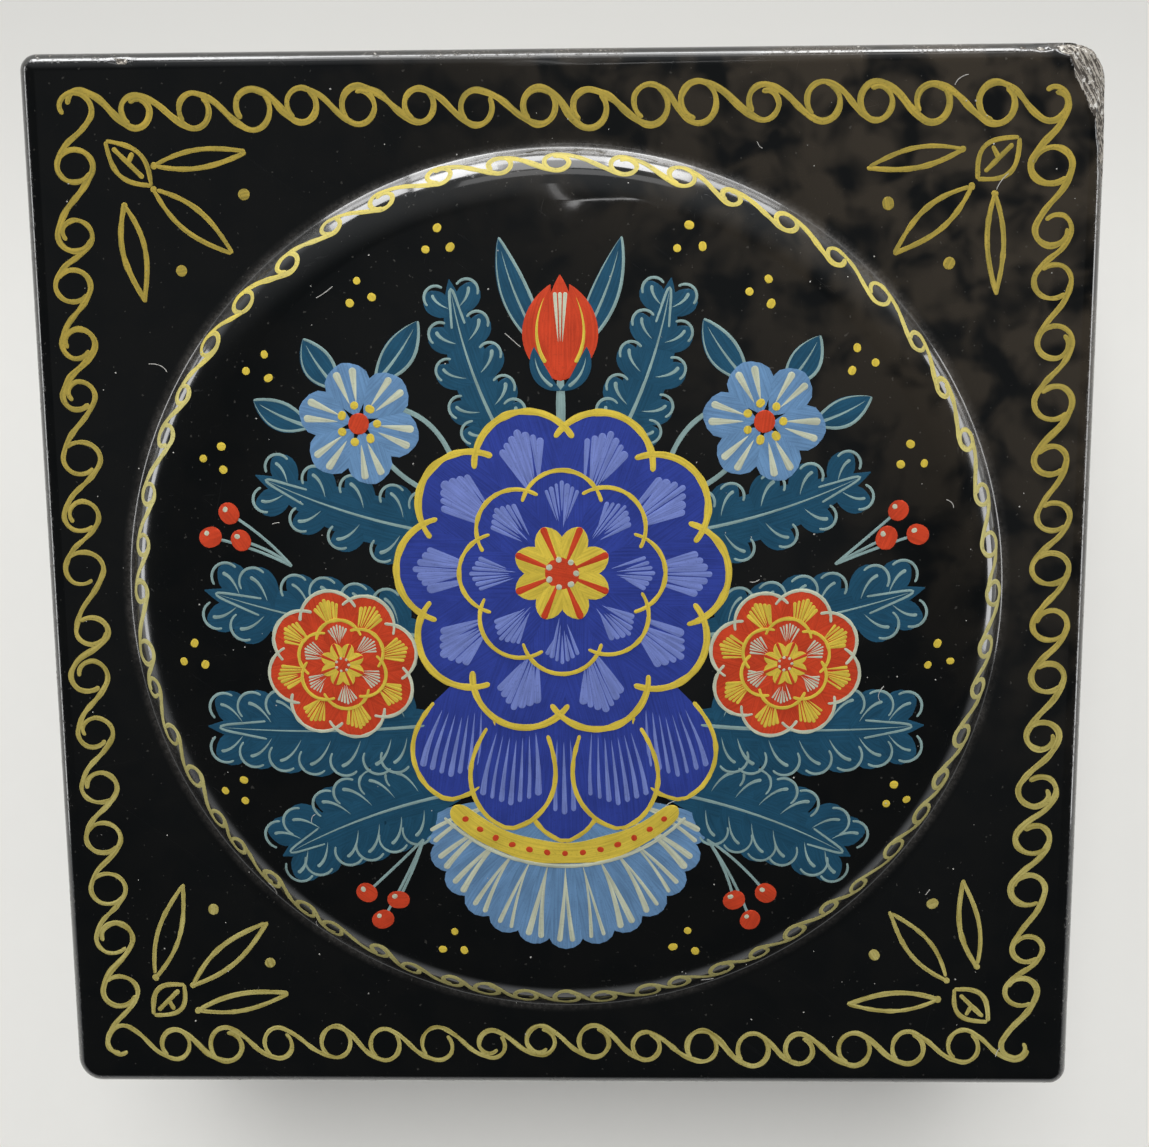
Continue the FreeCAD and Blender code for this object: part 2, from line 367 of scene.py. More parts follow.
def under_rings(surface):
    """Rings from the frame, round the locating step and into the dome's hollow, with its last point."""
    around = azimuths(surface)

    def circle(radius, z):
        return [Vector((radius * cos(a), radius * sin(a), z)) for a in around]

    plug = outline(PLUG_INSET, [PLUG_INSET + PLUG_CORNER] * 4)
    rings = [level(plug, BOARD_BOTTOM), level(plug, PLUG_BOTTOM)]
    side = surface.sizes.base_radius - DOME_WALL
    mouth = circle(side + MOUTH_ROUND, PLUG_BOTTOM)
    rings.append([p.lerp(q, 0.5) for p, q in zip(rings[-1], mouth)])
    for turn in between(-pi / 6, pi / 2, MOUTH_RINGS):
        radius = side + MOUTH_ROUND * (1 - sin(turn))
        rings.append(circle(radius, PLUG_BOTTOM + MOUTH_ROUND * (1 - cos(turn))))
    ceiling = surface.crown_radius - DOME_WALL
    corner_x = side - RECESS_ROUND
    corner_z = surface.crown.y + sqrt((ceiling - RECESS_ROUND) ** 2 - corner_x ** 2)
    last_tilt = asin(corner_x / (ceiling - RECESS_ROUND))
    for turn in between(pi / 2, last_tilt, RECESS_RINGS):
        rings.append(circle(corner_x + RECESS_ROUND * sin(turn), corner_z + RECESS_ROUND * cos(turn)))
    for tilt in between(last_tilt, 0.0, CEILING_RINGS)[:-1]:
        rings.append(circle(ceiling * sin(tilt), surface.crown.y + ceiling * cos(tilt)))
    return rings, Vector((0, 0, surface.crown.y + ceiling))


def lid_mesh(surface):
    """One closed mesh of the lid board, with how bare each point is as the attribute bare."""
    top = top_rings(surface)
    under, ceiling = under_rings(surface)
    points = [(surface.on_dome(0.0, 0.0), 0.0)]
    for ring in top:
        points += ring
    for ring in under:
        points += [(p, 0.0) for p in ring]
    points.append((ceiling, 0.0))

    samples = len(top[0])
    rows = [range(first, first + samples) for first in range(1, len(points) - 1, samples)]
    rows = [[0] * samples] + rows + [[len(points) - 1] * samples]
    faces, slots = [], []
    for i, (row, following) in enumerate(zip(rows, rows[1:])):
        for k in range(samples):
            after = (k + 1) % samples
            faces.append(list(dict.fromkeys((row[k], following[k], following[after], row[after]))))
            slots.append(int(i > len(top)))

    mesh = bpy.data.meshes.new("lid_board_lacquered")
    mesh.from_pydata([p for p, _ in points], [], faces)
    mesh.polygons.foreach_set("material_index", slots)
    layer = mesh.attributes.new("bare", "FLOAT", "POINT")
    layer.data.foreach_set("value", [bare for _, bare in points])
    return mesh


def placed(name, data):
    """A new object in the scene."""
    made = bpy.data.objects.new(name, data)
    bpy.context.scene.collection.objects.link(made)
    return made


def shown(mesh, name, materials, smooth_angle=35.0):
    """An object made of a mesh, shaded smooth, that rides on the lid."""
    mesh.polygons.foreach_set("use_smooth", [True] * len(mesh.polygons))
    mesh.set_sharp_from_angle(angle=radians(smooth_angle))
    for material in materials:
        mesh.materials.append(material)
    piece = placed(name, mesh)
    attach(piece, "lid")
    return piece


# Brush strokes. A stroke is a thin closed ribbon that lies on the lacquer and reaches just into it.
SUNK = 0.03 * MM
STATION_STEP = 0.16 * MM
STATIONS_A_WIDTH = 9
END_STATIONS = 4
LEAST_WIDTH_SHARE = 0.03
BRUSH_STARTS = 400
BRUSH_MAP = "brush"
# In films of paint: how far the edge of a stroke stands over its coat, and how much that varies
EDGE_LIFT, UNEVEN_LIFT = 0.4, 0.3


def even_stations(path, width):
    """Points along a path, closer at its two ends, each with its direction and run, and the whole run."""
    runs = [0.0]
    for a, b in zip(path, path[1:]):
        runs.append(runs[-1] + (b - a).length)
    total = runs[-1]
    end = min(width / 2, total / 2.2)
    ends = [end * (1 - cos(k / END_STATIONS * pi / 2)) for k in range(END_STATIONS)]
    steps = max(int((total - 2 * end) / max(STATION_STEP, width / STATIONS_A_WIDTH)), 2)
    wanted = ends + [end + (total - 2 * end) * k / steps for k in range(steps + 1)]
    wanted += [total - e for e in reversed(ends)]
    points = []
    i = 0
    for run in wanted:
        while i < len(runs) - 2 and runs[i + 1] < run:
            i += 1
        along = (run - runs[i]) / max(runs[i + 1] - runs[i], 1e-12)
        points.append(path[i].lerp(path[i + 1], min(max(along, 0.0), 1.0)))
    beyond = points[:1] + points + points[-1:]
    ways = [(b - a).normalized() for a, b in zip(beyond, beyond[2:])]
    return list(zip(points, ways, wanted)), total


def line_width(run, total, width):
    """An even line with round ends."""
    end = min(run, total - run) / (width / 2)
    return sqrt(max(1 - (1 - min(end, 1)) ** 2, 0))


def scroll_width(run, total, width):
    """A line that is fuller in its middle than at its ends."""
    return line_width(run, total, width) * (0.74 + 0.26 * sqrt(max(sin(pi * run / total), 0)))


def leaf_width(run, total, width):
    """Pointed at both ends."""
    return max(sin(pi * run / total), 0) ** 0.8


def petal_width(run, total, width):
    """Narrow at its root and full and round at its tip."""
    return max(sin(pi * (run / total) ** 1.5), 0) ** 0.6


def comma_width(run, total, width):
    """A round head that thins to a tail."""
    return line_width(run, 2 * total, width) * (1 - run / total) ** 0.7


class Paint:
    """The strokes of one paint, gathered into one piece."""

    def __init__(self, place, seed):
        self.place = place
        self.film = settings().scrolls.film
        self.random = random.Random(seed)
        self.points, self.faces, self.brush = [], [], []

    def stroke(self, path, width, coat=0, shape=line_width, columns=5, wobble=0.07):
        """Lays one stroke of paint along a path. The coat says what it lies on top of."""
        stations, total = even_stations(path, width)
        rows = [2 * j / (columns - 1) - 1 for j in range(columns)]
        start = self.random.uniform(0, BRUSH_STARTS)
        lift = self.film * (EDGE_LIFT + coat + UNEVEN_LIFT * self.random.random())
        base = len(self.points)
        for p, ahead, run in stations:
            left = Vector((-ahead.y, ahead.x))
            sway = 1 + wobble * noise.noise(Vector((start, run / width / 2, 0)))
            wide = width / 2 * max(shape(run, total, width) * sway, LEAST_WIDTH_SHARE)
            heights = [lift + self.film * (1 - row ** 4) for row in rows] + [-SUNK] * columns
            for row, height in zip(rows + rows, heights):
                q = p + left * (row * wide)
                self.points.append(self.place(q.x, q.y, height))
                self.brush.append((start + run / MM, row * wide / MM))
        self.skin(base, len(stations), columns)

    def skin(self, base, stations, columns):
        """Closes a stroke with faces round it and at its two ends."""
        across = 2 * columns
        around = [*range(columns), *reversed(range(columns, across))]
        for a in range(base, base + (stations - 1) * across, across):
            b = a + across
            self.faces += [(a + j, b + j, b + k, a + k) for j, k in zip(around, around[1:] + around[:1])]
        last = base + (stations - 1) * across
        for j in range(columns - 1):
            self.faces.append((base + j, base + j + 1, base + columns + j + 1, base + columns + j))
            self.faces.append((last + j, last + columns + j, last + columns + j + 1, last + j + 1))

    def dot(self, middle, size, coat=0):
        """A dab of the brush, nearly round."""
        way = heading(self.random.uniform(0, pi)) * size * 0.5 * self.random.uniform(1.0, 1.25)
        self.stroke([middle - way, middle + way], size, coat, columns=7)

    def piece(self, name, material):
        mesh = bpy.data.meshes.new(name)
        mesh.from_pydata(self.points, [], self.faces)
        corners = [0] * len(mesh.loops)
        mesh.loops.foreach_get("vertex_index", corners)
        layer = mesh.uv_layers.new(name=BRUSH_MAP)
        layer.data.foreach_set("uv", [c for v in corners for c in self.brush[v]])
        return shown(mesh, name, [material], 60.0)


BEND_STEPS = 18


def spot(x, y):
    """A place on the lid, in millimetres from its middle."""
    return Vector((x, y)) * MM


def spoke(middle, turn, radius, shares):
    return [middle + heading(turn) * radius * t for t in shares]


def bend(*guides, steps=BEND_STEPS):
    """A curve from the first guide to the last that is drawn towards those between."""
    path = []
    for k in range(steps + 1):
        points = guides
        while len(points) > 1:
            points = [a.lerp(b, k / steps) for a, b in zip(points, points[1:])]
        path.append(points[0])
    return path


def turned(centre, radius, start, end, steps=14):
    """Points on an arc. The radius may change evenly from one end to the other."""
    first, last = radius if isinstance(radius, tuple) else (radius, radius)
    shares = [k / steps for k in range(steps + 1)]
    return [centre + heading(start + (end - start) * t) * (first + (last - first) * t) for t in shares]


def rounded(path, passes=1):
    """Takes the corners off a path."""
    for _ in range(passes):
        cut = [path[0]]
        for a, b in zip(path, path[1:]):
            cut += [a.lerp(b, 0.25), a.lerp(b, 0.75)]
        path = cut + [path[-1]]
    return path


# A running scroll. How much of its full lean a stroke has where it leaves a loop and where it enters
# the next, the sine of the fullest lean, and how far it runs on at both ends, as a share of the way
LEAVING_LEAN, ENTERING_LEAN = 0.45, 0.80
FULLEST_LEAN = 0.98
RUN_ON = 0.48
# Degrees from the top of its first loop to where a stroke starts, and from the foot of its second to
# where it ends, along a border and at the border's own two ends
START_TURNS = (125, 180)
END_TURNS = ((128, 158), (135, 165), (175, 225))
FIRST_TURN, LAST_TURN = 70, 205
# A stroke that ends past this turn curls in, to a share of its loop's radius
CURLING_TURN = 166
OPEN_CURLS, TIGHT_CURLS, LAST_CURL = (0.7, 1.0), (0.45, 0.7), 0.5


def scroll(first, first_radius, second, second_radius, start_turn, end_turn, curls):
    """One stroke of a running scroll: over a loop, then down in a long S and under the next."""
    way = second - first
    over = atan2(way.y, way.x) + pi / 2
    under = over + pi
    lean = asin(min((first_radius + second_radius) / way.length, FULLEST_LEAN))
    leave, enter = over - LEAVING_LEAN * lean, under - ENTERING_LEAN * lean
    opening, closing = over + start_turn, under + end_turn
    start = first + heading(leave) * first_radius
    end = second + heading(enter) * second_radius
    reach = RUN_ON * (end - start).length
    leaving = start + heading(leave - pi / 2) * reach
    arriving = end - heading(enter + pi / 2) * reach
    opened, closed = (opening + leave) / 2, (enter + closing) / 2
    path = turned(first, (first_radius * curls[0], first_radius), opening, opened)
    path += turned(first, first_radius, opened, leave)[1:]
    path += bend(start, leaving, arriving, end, steps=16)[1:]
    path += turned(second, second_radius, enter, closed)[1:]
    path += turned(second, (second_radius, second_radius * curls[1]), closed, closing)[1:]
    return rounded(path)


def running_scroll(paint, loops, radii, line, height=0.0, closed=False):
    """Strokes from each loop to the next, made taller by height. An open one starts and ends in a curl."""
    rng = paint.random
    last = len(loops) - 2
    for i in range(last + 1):
        opening = radians(rng.uniform(*START_TURNS))
        closing = radians(rng.choice([rng.uniform(*turns) for turns in END_TURNS]))
        curls = [rng.uniform(*OPEN_CURLS)]
        curls.append(1.0 if closing < radians(CURLING_TURN) else rng.uniform(*TIGHT_CURLS))
        if i == 0 and not closed:
            opening = radians(FIRST_TURN)
        if i == last and not closed:
            closing = radians(LAST_TURN)
            curls[1] = LAST_CURL
        path = scroll(loops[i], radii[i], loops[i + 1], radii[i + 1], opening, closing, curls)
        out = leftward(loops[i] - loops[i + 1])
        taller = height + rng.uniform(-0.06, 0.06)
        path = [p + out * (p - loops[i]).dot(out) * taller for p in path]
        paint.stroke(path, line * rng.uniform(0.88, 1.12), shape=scroll_width, wobble=0.3)


# Shader nodes
BLACK = (0.0, 0.0, 0.0, 1.0)
GREY = (0.5, 0.5, 0.5, 1.0)


def opaque(rgb, share=1.0):
    return (*(c * share for c in rgb), 1.0)


class Wiring:
    """Adds nodes to a tree and joins them."""

    def __init__(self, tree):
        self.tree = tree

    def add(self, kind, inputs=None, output=0, **options):
        made = self.tree.nodes.new(kind)
        for option, value in options.items():
            setattr(made, option, value)
        self.join(made, inputs or {})
        return made.outputs[output]

    def join(self, made, inputs):
        for key, value in inputs.items():
            if isinstance(value, bpy.types.NodeSocket):
                self.tree.links.new(value, made.inputs[key])
            else:
                made.inputs[key].default_value = value

    def place(self):
        return self.add("ShaderNodeTexCoord", output="Object")

    def axes(self):
        return self.add("ShaderNodeSeparateXYZ", {0: self.place()}).node.outputs

    def sums(self, operation, first, *others):
        for other in others:
            first = self.add("ShaderNodeMath", {0: first, 1: other}, operation=operation)
        return first

    def plus(self, *values):
        return self.sums("ADD", *values)

    def minus(self, *values):
        return self.sums("SUBTRACT", *values)

    def times(self, *values):
        return self.sums("MULTIPLY", *values)

    def most(self, *values):
        return self.sums("MAXIMUM", *values)

    def away(self, value, middle=0.0):
        """How far a value lies from a middle one, on either side."""
        return self.sums("ABSOLUTE", self.minus(value, middle), 0.0)

    def mix(self, share, a, b):
        return self.add("ShaderNodeMix", {0: share, 6: a, 7: b}, 2, data_type="RGBA")

    def mix_values(self, share, a, b):
        return self.add("ShaderNodeMix", {0: share, 2: a, 3: b})

    def remap(self, value, low, high, to_low=0.0, to_high=1.0):
        inputs = {0: value, 1: low, 2: high, 3: to_low, 4: to_high}
        return self.add("ShaderNodeMapRange", inputs, interpolation_type="SMOOTHSTEP")

    def noise(self, millimetres, detail=3.0, roughness=0.5, distortion=0.0):
        """Noise whose swells are this far apart."""
        inputs = {"Vector": self.place(), "Scale": 1 / (millimetres * MM), "Detail": detail}
        inputs.update({"Roughness": roughness, "Distortion": distortion})
        return self.add("ShaderNodeTexNoise", inputs)

    def stretched(self, vector, turn, along, across, detail=2.0):
        """Noise drawn out along one direction of the plan."""
        inputs = {"Vector": vector, "Rotation": (0, 0, turn), "Scale": (along, across, across)}
        drawn = self.add("ShaderNodeMapping", inputs, vector_type="TEXTURE")
        return self.add("ShaderNodeTexNoise", {"Vector": drawn, "Scale": 1.0, "Detail": detail})


def add_socket(tree, label, side, kind):
    kind = "NodeSocketColor" if kind == "RGBA" else "NodeSocketFloat"
    return tree.interface.new_socket(name=label, in_out=side, socket_type=kind)


def effect(**inputs):
    """Turns the wiring of an effect into a function that places it in a material, with its own values.

    The effect is a shader node group, built once, with these inputs.
    """
    def with_wiring(wire):
        def build(name):
            tree = bpy.data.node_groups.new(name, "ShaderNodeTree")
            for label, value in inputs.items():
                kind = "RGBA" if isinstance(value, tuple) else "VALUE"
                add_socket(tree, label, "INPUT", kind).default_value = value
            wires = Wiring(tree)
            results = wire(wires, tree.nodes.new("NodeGroupInput").outputs)
            for label, socket in results.items():
                add_socket(tree, label, "OUTPUT", socket.type)
            wires.join(tree.nodes.new("NodeGroupOutput"), results)
            return tree

        def use(wires, **values):
            name = wire.__name__
            made = wires.tree.nodes.new("ShaderNodeGroup")
            made.node_tree = bpy.data.node_groups.get(name) or build(name)
            wires.join(made, values)
            return made.outputs
        return use
    return with_wiring


@effect(Base=BLACK, Cloud=BLACK, Mottling=0.0, Scratches=1.0)
def lacquer_depth(wires, given):
    """Lacquer with a painted reflection: olive-brown patches at the back right of the lid's top, where the
    room shows in the gloss; with an even mottle where Mottling asks for one, specks, peel, smudges and
    hairlines.
    """
    # Painted reflection: olive-brown patches that drift to the back right of the lid and stay on its top.
    # Mottling spreads the same patches evenly, as the lacquer's own mottle.
    cloud = wires.remap(wires.noise(3.2, 2.0, 0.5, 0.3), 0.34, 0.62)
    drift = {0: wires.place(), 1: (0.70, 0.72, 0.0)}
    drift = wires.add("ShaderNodeVectorMath", drift, "Value", operation="DOT_PRODUCT")
    drift = wires.remap(drift, 10 * MM, 42 * MM, 0.03, 1.0)
    on_lid = wires.remap(wires.axes()["Z"], 33.0 * MM, 34.6 * MM, 0.03, 1.0)
    cloud = wires.times(cloud, wires.most(wires.times(drift, on_lid), given["Mottling"]))
    tone = wires.mix(cloud, given["Base"], given["Cloud"])
    specks = wires.times(wires.remap(wires.noise(0.34, 1.0), 0.735, 0.765), 0.10)
    tone = wires.mix(specks, tone, (0.30, 0.29, 0.26, 1.0))
    lines = 0.0
    for turn, along, across in ((0.2, 16, 0.30), (1.35, 11, 0.22), (2.5, 14, 0.26)):
        drawn = wires.stretched(wires.place(), turn, along * MM, across * MM)
        lines = wires.most(wires.remap(drawn, 0.70, 0.74), lines)
    lines = wires.times(lines, given["Scratches"])
    smudge = wires.remap(wires.noise(16, 5.0, 0.6, 0.4), 0.35, 0.70, 0.04, 0.20)
    height = wires.plus(wires.times(wires.noise(1.1, 4.0), 2.6), wires.times(lines, -0.3))
    return {"Colour": tone, "Roughness": wires.plus(smudge, wires.times(lines, 0.2)), "Height": height}


@effect(Board=GREY, Dirt=BLACK)
def bare_board(wires, given):
    """Torn fibres of pressed board: their colour, darker where the fibres and clumps lie low and paler on
    the high clumps, and their height in microns.
    """
    fibre = wires.stretched(wires.place(), -1.05, 1.5 * MM, 0.15 * MM, 5.0)
    clumps = wires.noise(0.5, 6.0, 0.65)
    # Darker where the fibres and clumps lie low and paler on the high clumps, from the same noise as their
    # height.
    tone = wires.mix(wires.remap(fibre, 0.46, 0.57), given["Dirt"], given["Board"])
    tone = wires.mix(wires.remap(clumps, 0.54, 0.64), tone, (0.66, 0.64, 0.60, 1.0))
    tone = wires.mix(wires.remap(clumps, 0.44, 0.33), tone, given["Dirt"])
    return {"Colour": tone, "Height": wires.plus(wires.times(fibre, 60.0), wires.times(clumps, 70.0))}


@effect(Wear=1.0)
def handled_edges(wires, given):
    """Where the lacquer is rubbed through on the upright corners and along the foot."""
    axes = wires.axes()
    past_side = wires.minus(wires.away(axes["X"]), HALF_WIDTH)
    past_end = wires.minus(wires.away(axes["Y"]), HALF_DEPTH)
    corner = wires.sums("MINIMUM", past_side, past_end)
    ragged = wires.times(wires.minus(wires.noise(2.6, 6.0, 0.65), 0.5), 3.4 * MM)
    corner = wires.remap(wires.plus(corner, ragged), -0.35 * MM, -0.10 * MM)
    foot = wires.remap(wires.minus(ragged, axes["Z"]), 0.25 * MM, 0.55 * MM)
    return {"Bare": wires.times(wires.most(corner, foot), given["Wear"])}


@effect(Paint=GREY, Shade=GREY, Pits=0.3)
def brush_marks(wires, given):
    """Streaks along a stroke of paint, and the specks in it."""
    run = wires.add("ShaderNodeUVMap", uv_map=BRUSH_MAP)
    streaks = wires.stretched(run, 0.0, 3.2, 0.13, 3.0)
    swell = wires.remap(wires.stretched(run, 0.0, 2.4, 2.4, 3.0), 0.3, 0.7, 0.0, 0.45)
    pits = wires.noise(0.14, 2.0)
    fullness = wires.plus(wires.remap(streaks, 0.3, 0.7, 0.0, 0.55), swell)
    tone = wires.mix(fullness, given["Shade"], given["Paint"])
    pitted = wires.times(wires.remap(pits, 0.60, 0.68), given["Pits"])
    tone = wires.mix(pitted, tone, wires.mix(0.5, given["Shade"], (0.01, 0.01, 0.01, 1.0)))
    height = wires.plus(wires.times(streaks, 14.0), wires.times(pits, 4.0))
    return {"Colour": tone, "Roughness": wires.remap(streaks, 0.3, 0.7, 0.56, 0.42), "Height": height}


@effect(Metal=GREY, Tarnish=GREY, Age=0.8)
def metal_age(wires, given):
    """Tarnish and drawing lines of old metal."""
    stain = wires.remap(wires.noise(1.6, 6.0, 0.65, 0.5), 0.42, 0.68)
    lines = wires.stretched(wires.place(), 0.0, 5 * MM, 0.05 * MM)
    tone = wires.mix(wires.times(stain, given["Age"]), given["Metal"], given["Tarnish"])
    rough = wires.plus(wires.remap(stain, 0.0, 1.0, 0.24, 0.48), wires.times(lines, 0.12))
    height = wires.plus(wires.times(lines, 2.0), wires.times(stain, 1.5))
    return {"Colour": tone, "Roughness": rough, "Height": height}


# Materials
PAINT_SPECULAR = {"Specular IOR Level": 0.28}


def material(name, wire, shader_values):
    """A material, built once. wire gives what feeds the shader's sockets and the Bump node."""
    made = bpy.data.materials.get(name)
    if made is None:
        made = bpy.data.materials.new(name)
        made.use_nodes = True
        wires = Wiring(made.node_tree)
        feeds = wire(wires)
        if "Height" in feeds:
            bump = {"Height": feeds.pop("Height"), "Distance": MICRON, "Strength": 1.0}
            feeds["Normal"] = wires.add("ShaderNodeBump", bump)
        wires.join(made.node_tree.nodes["Principled BSDF"], {**feeds, **shader_values})
    return made


def feeds_of(made):
    return {"Base Color": made["Colour"], "Roughness": made["Roughness"], "Height": made["Height"]}


def red_depth(wires, scratches=1.0):
    tones = settings().lacquer
    reds = {"Base": opaque(tones.red), "Cloud": opaque(tones.red_shade)}
    # In the red these patches are mostly its own mottle, with a little painted reflection at the back right
    # of the lid.
    return lacquer_depth(wires, **reds, Mottling=0.35, Scratches=scratches)


def black_lacquer(name, bare_of, inside_of=None, dust_and_sheen_of=None):
    """Black lacquer over board. The functions say where it is bare, where it is red and where it is dusty
    with a painted grey sheen.
    """
    tones = settings().lacquer

    def wire(wires):
        # The olive-brown patches in the black are a painted reflection of the room.
        black = lacquer_depth(wires, Base=opaque(tones.black), Cloud=opaque(tones.cloud))
        board = bare_board(wires, Board=opaque(tones.board), Dirt=opaque(tones.board_dark))
        bare = bare_of(wires)
        tone, rough = black["Colour"], black["Roughness"]
        if inside_of:
            tone = wires.mix(inside_of(wires), tone, red_depth(wires)["Colour"])
        if dust_and_sheen_of:
            dust = dust_and_sheen_of(wires)
            # Dust and a painted grey sheen: a grey tone mixed into the hollow line round the dome.
            tone = wires.mix(wires.times(dust, 0.22), tone, (0.28, 0.26, 0.24, 1.0))
            rough = wires.plus(rough, wires.times(dust, 0.16))
        return {
            "Base Color": wires.mix(bare, tone, board["Colour"]),
            "Roughness": wires.mix_values(bare, rough, 0.82),
            "Height": wires.mix_values(bare, black["Height"], board["Height"]),
            "Coat Weight": wires.remap(bare, 0.0, 1.0, 0.5, 0.0),
        }

    return material(name, wire, {"IOR": 1.6, "Coat IOR": 1.5, "Coat Roughness": 0.03})


def red_lacquer():
    def wire(wires):
        return feeds_of(red_depth(wires, 0.6))

    return material("red_lacquer", wire, {"IOR": 1.5, "Coat Weight": 0.4, "Coat Roughness": 0.05})


def valley_dust(wires):
    """Dust caught in the hollow line round the dome, with a painted grey sheen along that line, as a mask.
    """
    flat = wires.add("ShaderNodeVectorMath", {0: wires.place(), 1: (1.0, 1.0, 0.0)}, operation="MULTIPLY")
    radius = wires.add("ShaderNodeVectorMath", {0: flat}, "Value", operation="LENGTH")
    near = wires.remap(wires.away(radius, LidSurface().foot_radius), 0.85 * MM, 0.10 * MM)
    grains = wires.remap(wires.noise(0.30, 5.0, 0.7), 0.38, 0.66, 0.35, 1.0)
    patches = wires.remap(wires.noise(5.0, 2.0), 0.35, 0.65, 0.4, 1.0)
    return wires.times(near, grains, patches)


def worn_lid(wires):
    """The wear that the lid's mesh carries, with a ragged edge, and specks along its rounded rim."""
    layer = wires.add("ShaderNodeAttribute", output="Fac", attribute_name="bare")
    ragged = wires.times(wires.minus(wires.noise(0.5, 4.0, 0.6), 0.5), 0.7)
    torn = wires.remap(wires.plus(layer, ragged), 0.42, 0.58)
    plane = LidSurface().plane
    rim = wires.remap(wires.axes()["Z"], plane - 0.06 * MM, plane - 0.5 * MM)
    specks = wires.remap(wires.noise(0.26, 4.0, 0.65), 0.54, 0.64)
    patches = wires.remap(wires.noise(3.2, 2.0), 0.42, 0.60)
    return wires.most(torn, wires.times(rim, specks, patches, 0.7))


def worn_edges(wires):
    return handled_edges(wires)["Bare"]


def inside_lid_frame(wires):
    """Inside the wall of the lid's frame."""
    axes = wires.axes()
    side = wires.minus(HALF_WIDTH - FRAME_WALL, wires.away(axes["X"]))
    end = wires.minus(HALF_DEPTH - FRAME_WALL, wires.away(axes["Y"]))
    return wires.remap(wires.sums("MINIMUM", side, end), -0.14 * MM, -0.04 * MM)


def above_foot(wires):
    """The side of the base board that faces up."""
    return wires.remap(wires.axes()["Z"], 1.4 * MM, 1.6 * MM)


def paint_finish(name):
    """The material of one paint, from its colour in the settings."""
    paint = getattr(settings().paint, name)

    def wire(wires):
        return feeds_of(brush_marks(wires, Paint=opaque(paint), Shade=opaque(paint, 0.62), Pits=0.25))

    return material("paint_" + name, wire, PAINT_SPECULAR)


def fading_finish(name, start, end, metallic=0.0):
    """A paint that is warm at the back of the lid and has worn pale from start to end towards its front."""
    warm, pale, shade = (opaque(getattr(settings().paint, name + tone)) for tone in ("", "_pale", "_shade"))

    def wire(wires):
        drift = wires.times(wires.minus(wires.noise(12), 0.5), 60 * MM)
        paler = wires.remap(wires.plus(wires.axes()["Y"], drift), start * MM, end * MM)
        return feeds_of(brush_marks(wires, Paint=wires.mix(paler, warm, pale), Shade=shade, Pits=0.6))

    return material("paint_" + name, wire, {"Metallic": metallic, **PAINT_SPECULAR})


def gold_finish():
    return fading_finish("gold", 30, -34, 0.1)


def metal(name, tone, tarnish):
    def wire(wires):
        return feeds_of(metal_age(wires, Metal=opaque(linear(tone)), Tarnish=opaque(linear(tarnish))))

    return material(name, wire, {"Metallic": 1.0})


def dust_finish():
    def wire(wires):
        grain = wires.noise(0.2)
        tone = wires.mix(grain, (0.26, 0.25, 0.23, 1.0), (0.62, 0.61, 0.58, 1.0))
        return {"Base Color": tone, "Roughness": wires.remap(grain, 0.3, 0.7, 0.8, 1.0)}

    return material("dust", wire, {})


# Ornament of the lid
# Both ends of each side of the border, its share of the sides' bow, and how full its line is
BORDER_SIDES = (
    ((-33.2, 34.1), (33.5, 34.1), 0.0, 1.10),
    ((33.5, 33.8), (33.5, -34.55), 1.15, 1.03),
    ((33.5, -34.55), (-33.7, -34.55), 0.0, 0.92),
    ((-33.7, -34.55), (-33.7, 34.1), 0.85, 0.95),
)
# In wanders of the painter's hand: how far a loop strays along its side and across it, and how far
# the whole line drifts. The last is how fast it drifts from loop to loop.
STRAY_ALONG, STRAY_ACROSS, LINE_DRIFT, DRIFT_STEP = 1.2, 0.6, 2.6, 0.28
RING_STRAY_ALONG, RING_STRAY_ACROSS = 1.1, 0.7
RING_CROWDING = 0.17
# How much taller than round the loops are drawn
BORDER_HEIGHT, RING_HEIGHT = 0.12, -0.14


def clockwise(first, last, bow, sizes, rng):
    """Loop centres and radii along one side of the border, which bows outward."""
    way = (last - first).normalized()
    out = leftward(way)
    drift = rng.uniform(0, 100)
    centres, radii = [], []
    for k in range(sizes.loops):
        t = k / (sizes.loops - 1)
        wander = sizes.wander if 0 < k < sizes.loops - 1 else 0
        along = rng.gauss(0, STRAY_ALONG) * wander
        sway = rng.gauss(0, STRAY_ACROSS) + LINE_DRIFT * noise.noise(Vector((drift, k * DRIFT_STEP, 0)))
        centres.append(first.lerp(last, t) + way * along + out * (sway * wander + bow * sin(pi * t)))
        radii.append(sizes.loop_radius * rng.uniform(0.88, 1.10))
    return centres, radii


def paint_border():
    sizes = settings().scrolls
    paint = Paint(LidSurface().on_plate, seed=3)
    for first, last, bow, fullness in BORDER_SIDES:
        ends = spot(*first), spot(*last)
        loops, radii = clockwise(*ends, bow * sizes.side_bow, sizes, paint.random)
        running_scroll(paint, loops, radii, sizes.line * fullness, BORDER_HEIGHT)
    paint.piece("border_scrolls", gold_finish())


def paint_ring():
    """Scrolls round the dome's flank. Along the ring is x, and down the flank is y."""
    surface, sizes = LidSurface(), settings().scrolls
    tilt = surface.foot_tilt - sizes.ring_height / surface.flank_radius
    radius = surface.flank.x + surface.flank_radius * sin(tilt)

    def place(x, y, lift):
        return surface.on_dome(surface.base_run + y, pi / 2 - x / radius, lift)

    paint = Paint(place, seed=5)
    rng = paint.random
    loops, radii = [], []
    for k in range(sizes.ring_loops):
        turn = tau * k / sizes.ring_loops
        stray = Vector((rng.gauss(0, RING_STRAY_ALONG), rng.gauss(0, RING_STRAY_ACROSS))) * sizes.wander
        loops.append(Vector((radius * (turn + RING_CROWDING * sin(turn)), -sizes.ring_height)) + stray)
        radii.append(sizes.ring_radius * rng.uniform(0.82, 1.15))
    loops.append(loops[0] + Vector((tau * radius, 0)))
    radii.append(radii[0])
    running_scroll(paint, loops, radii, sizes.ring_line, RING_HEIGHT, closed=True)
    paint.piece("dome_scrolls", fading_finish("ring", 30, 4))


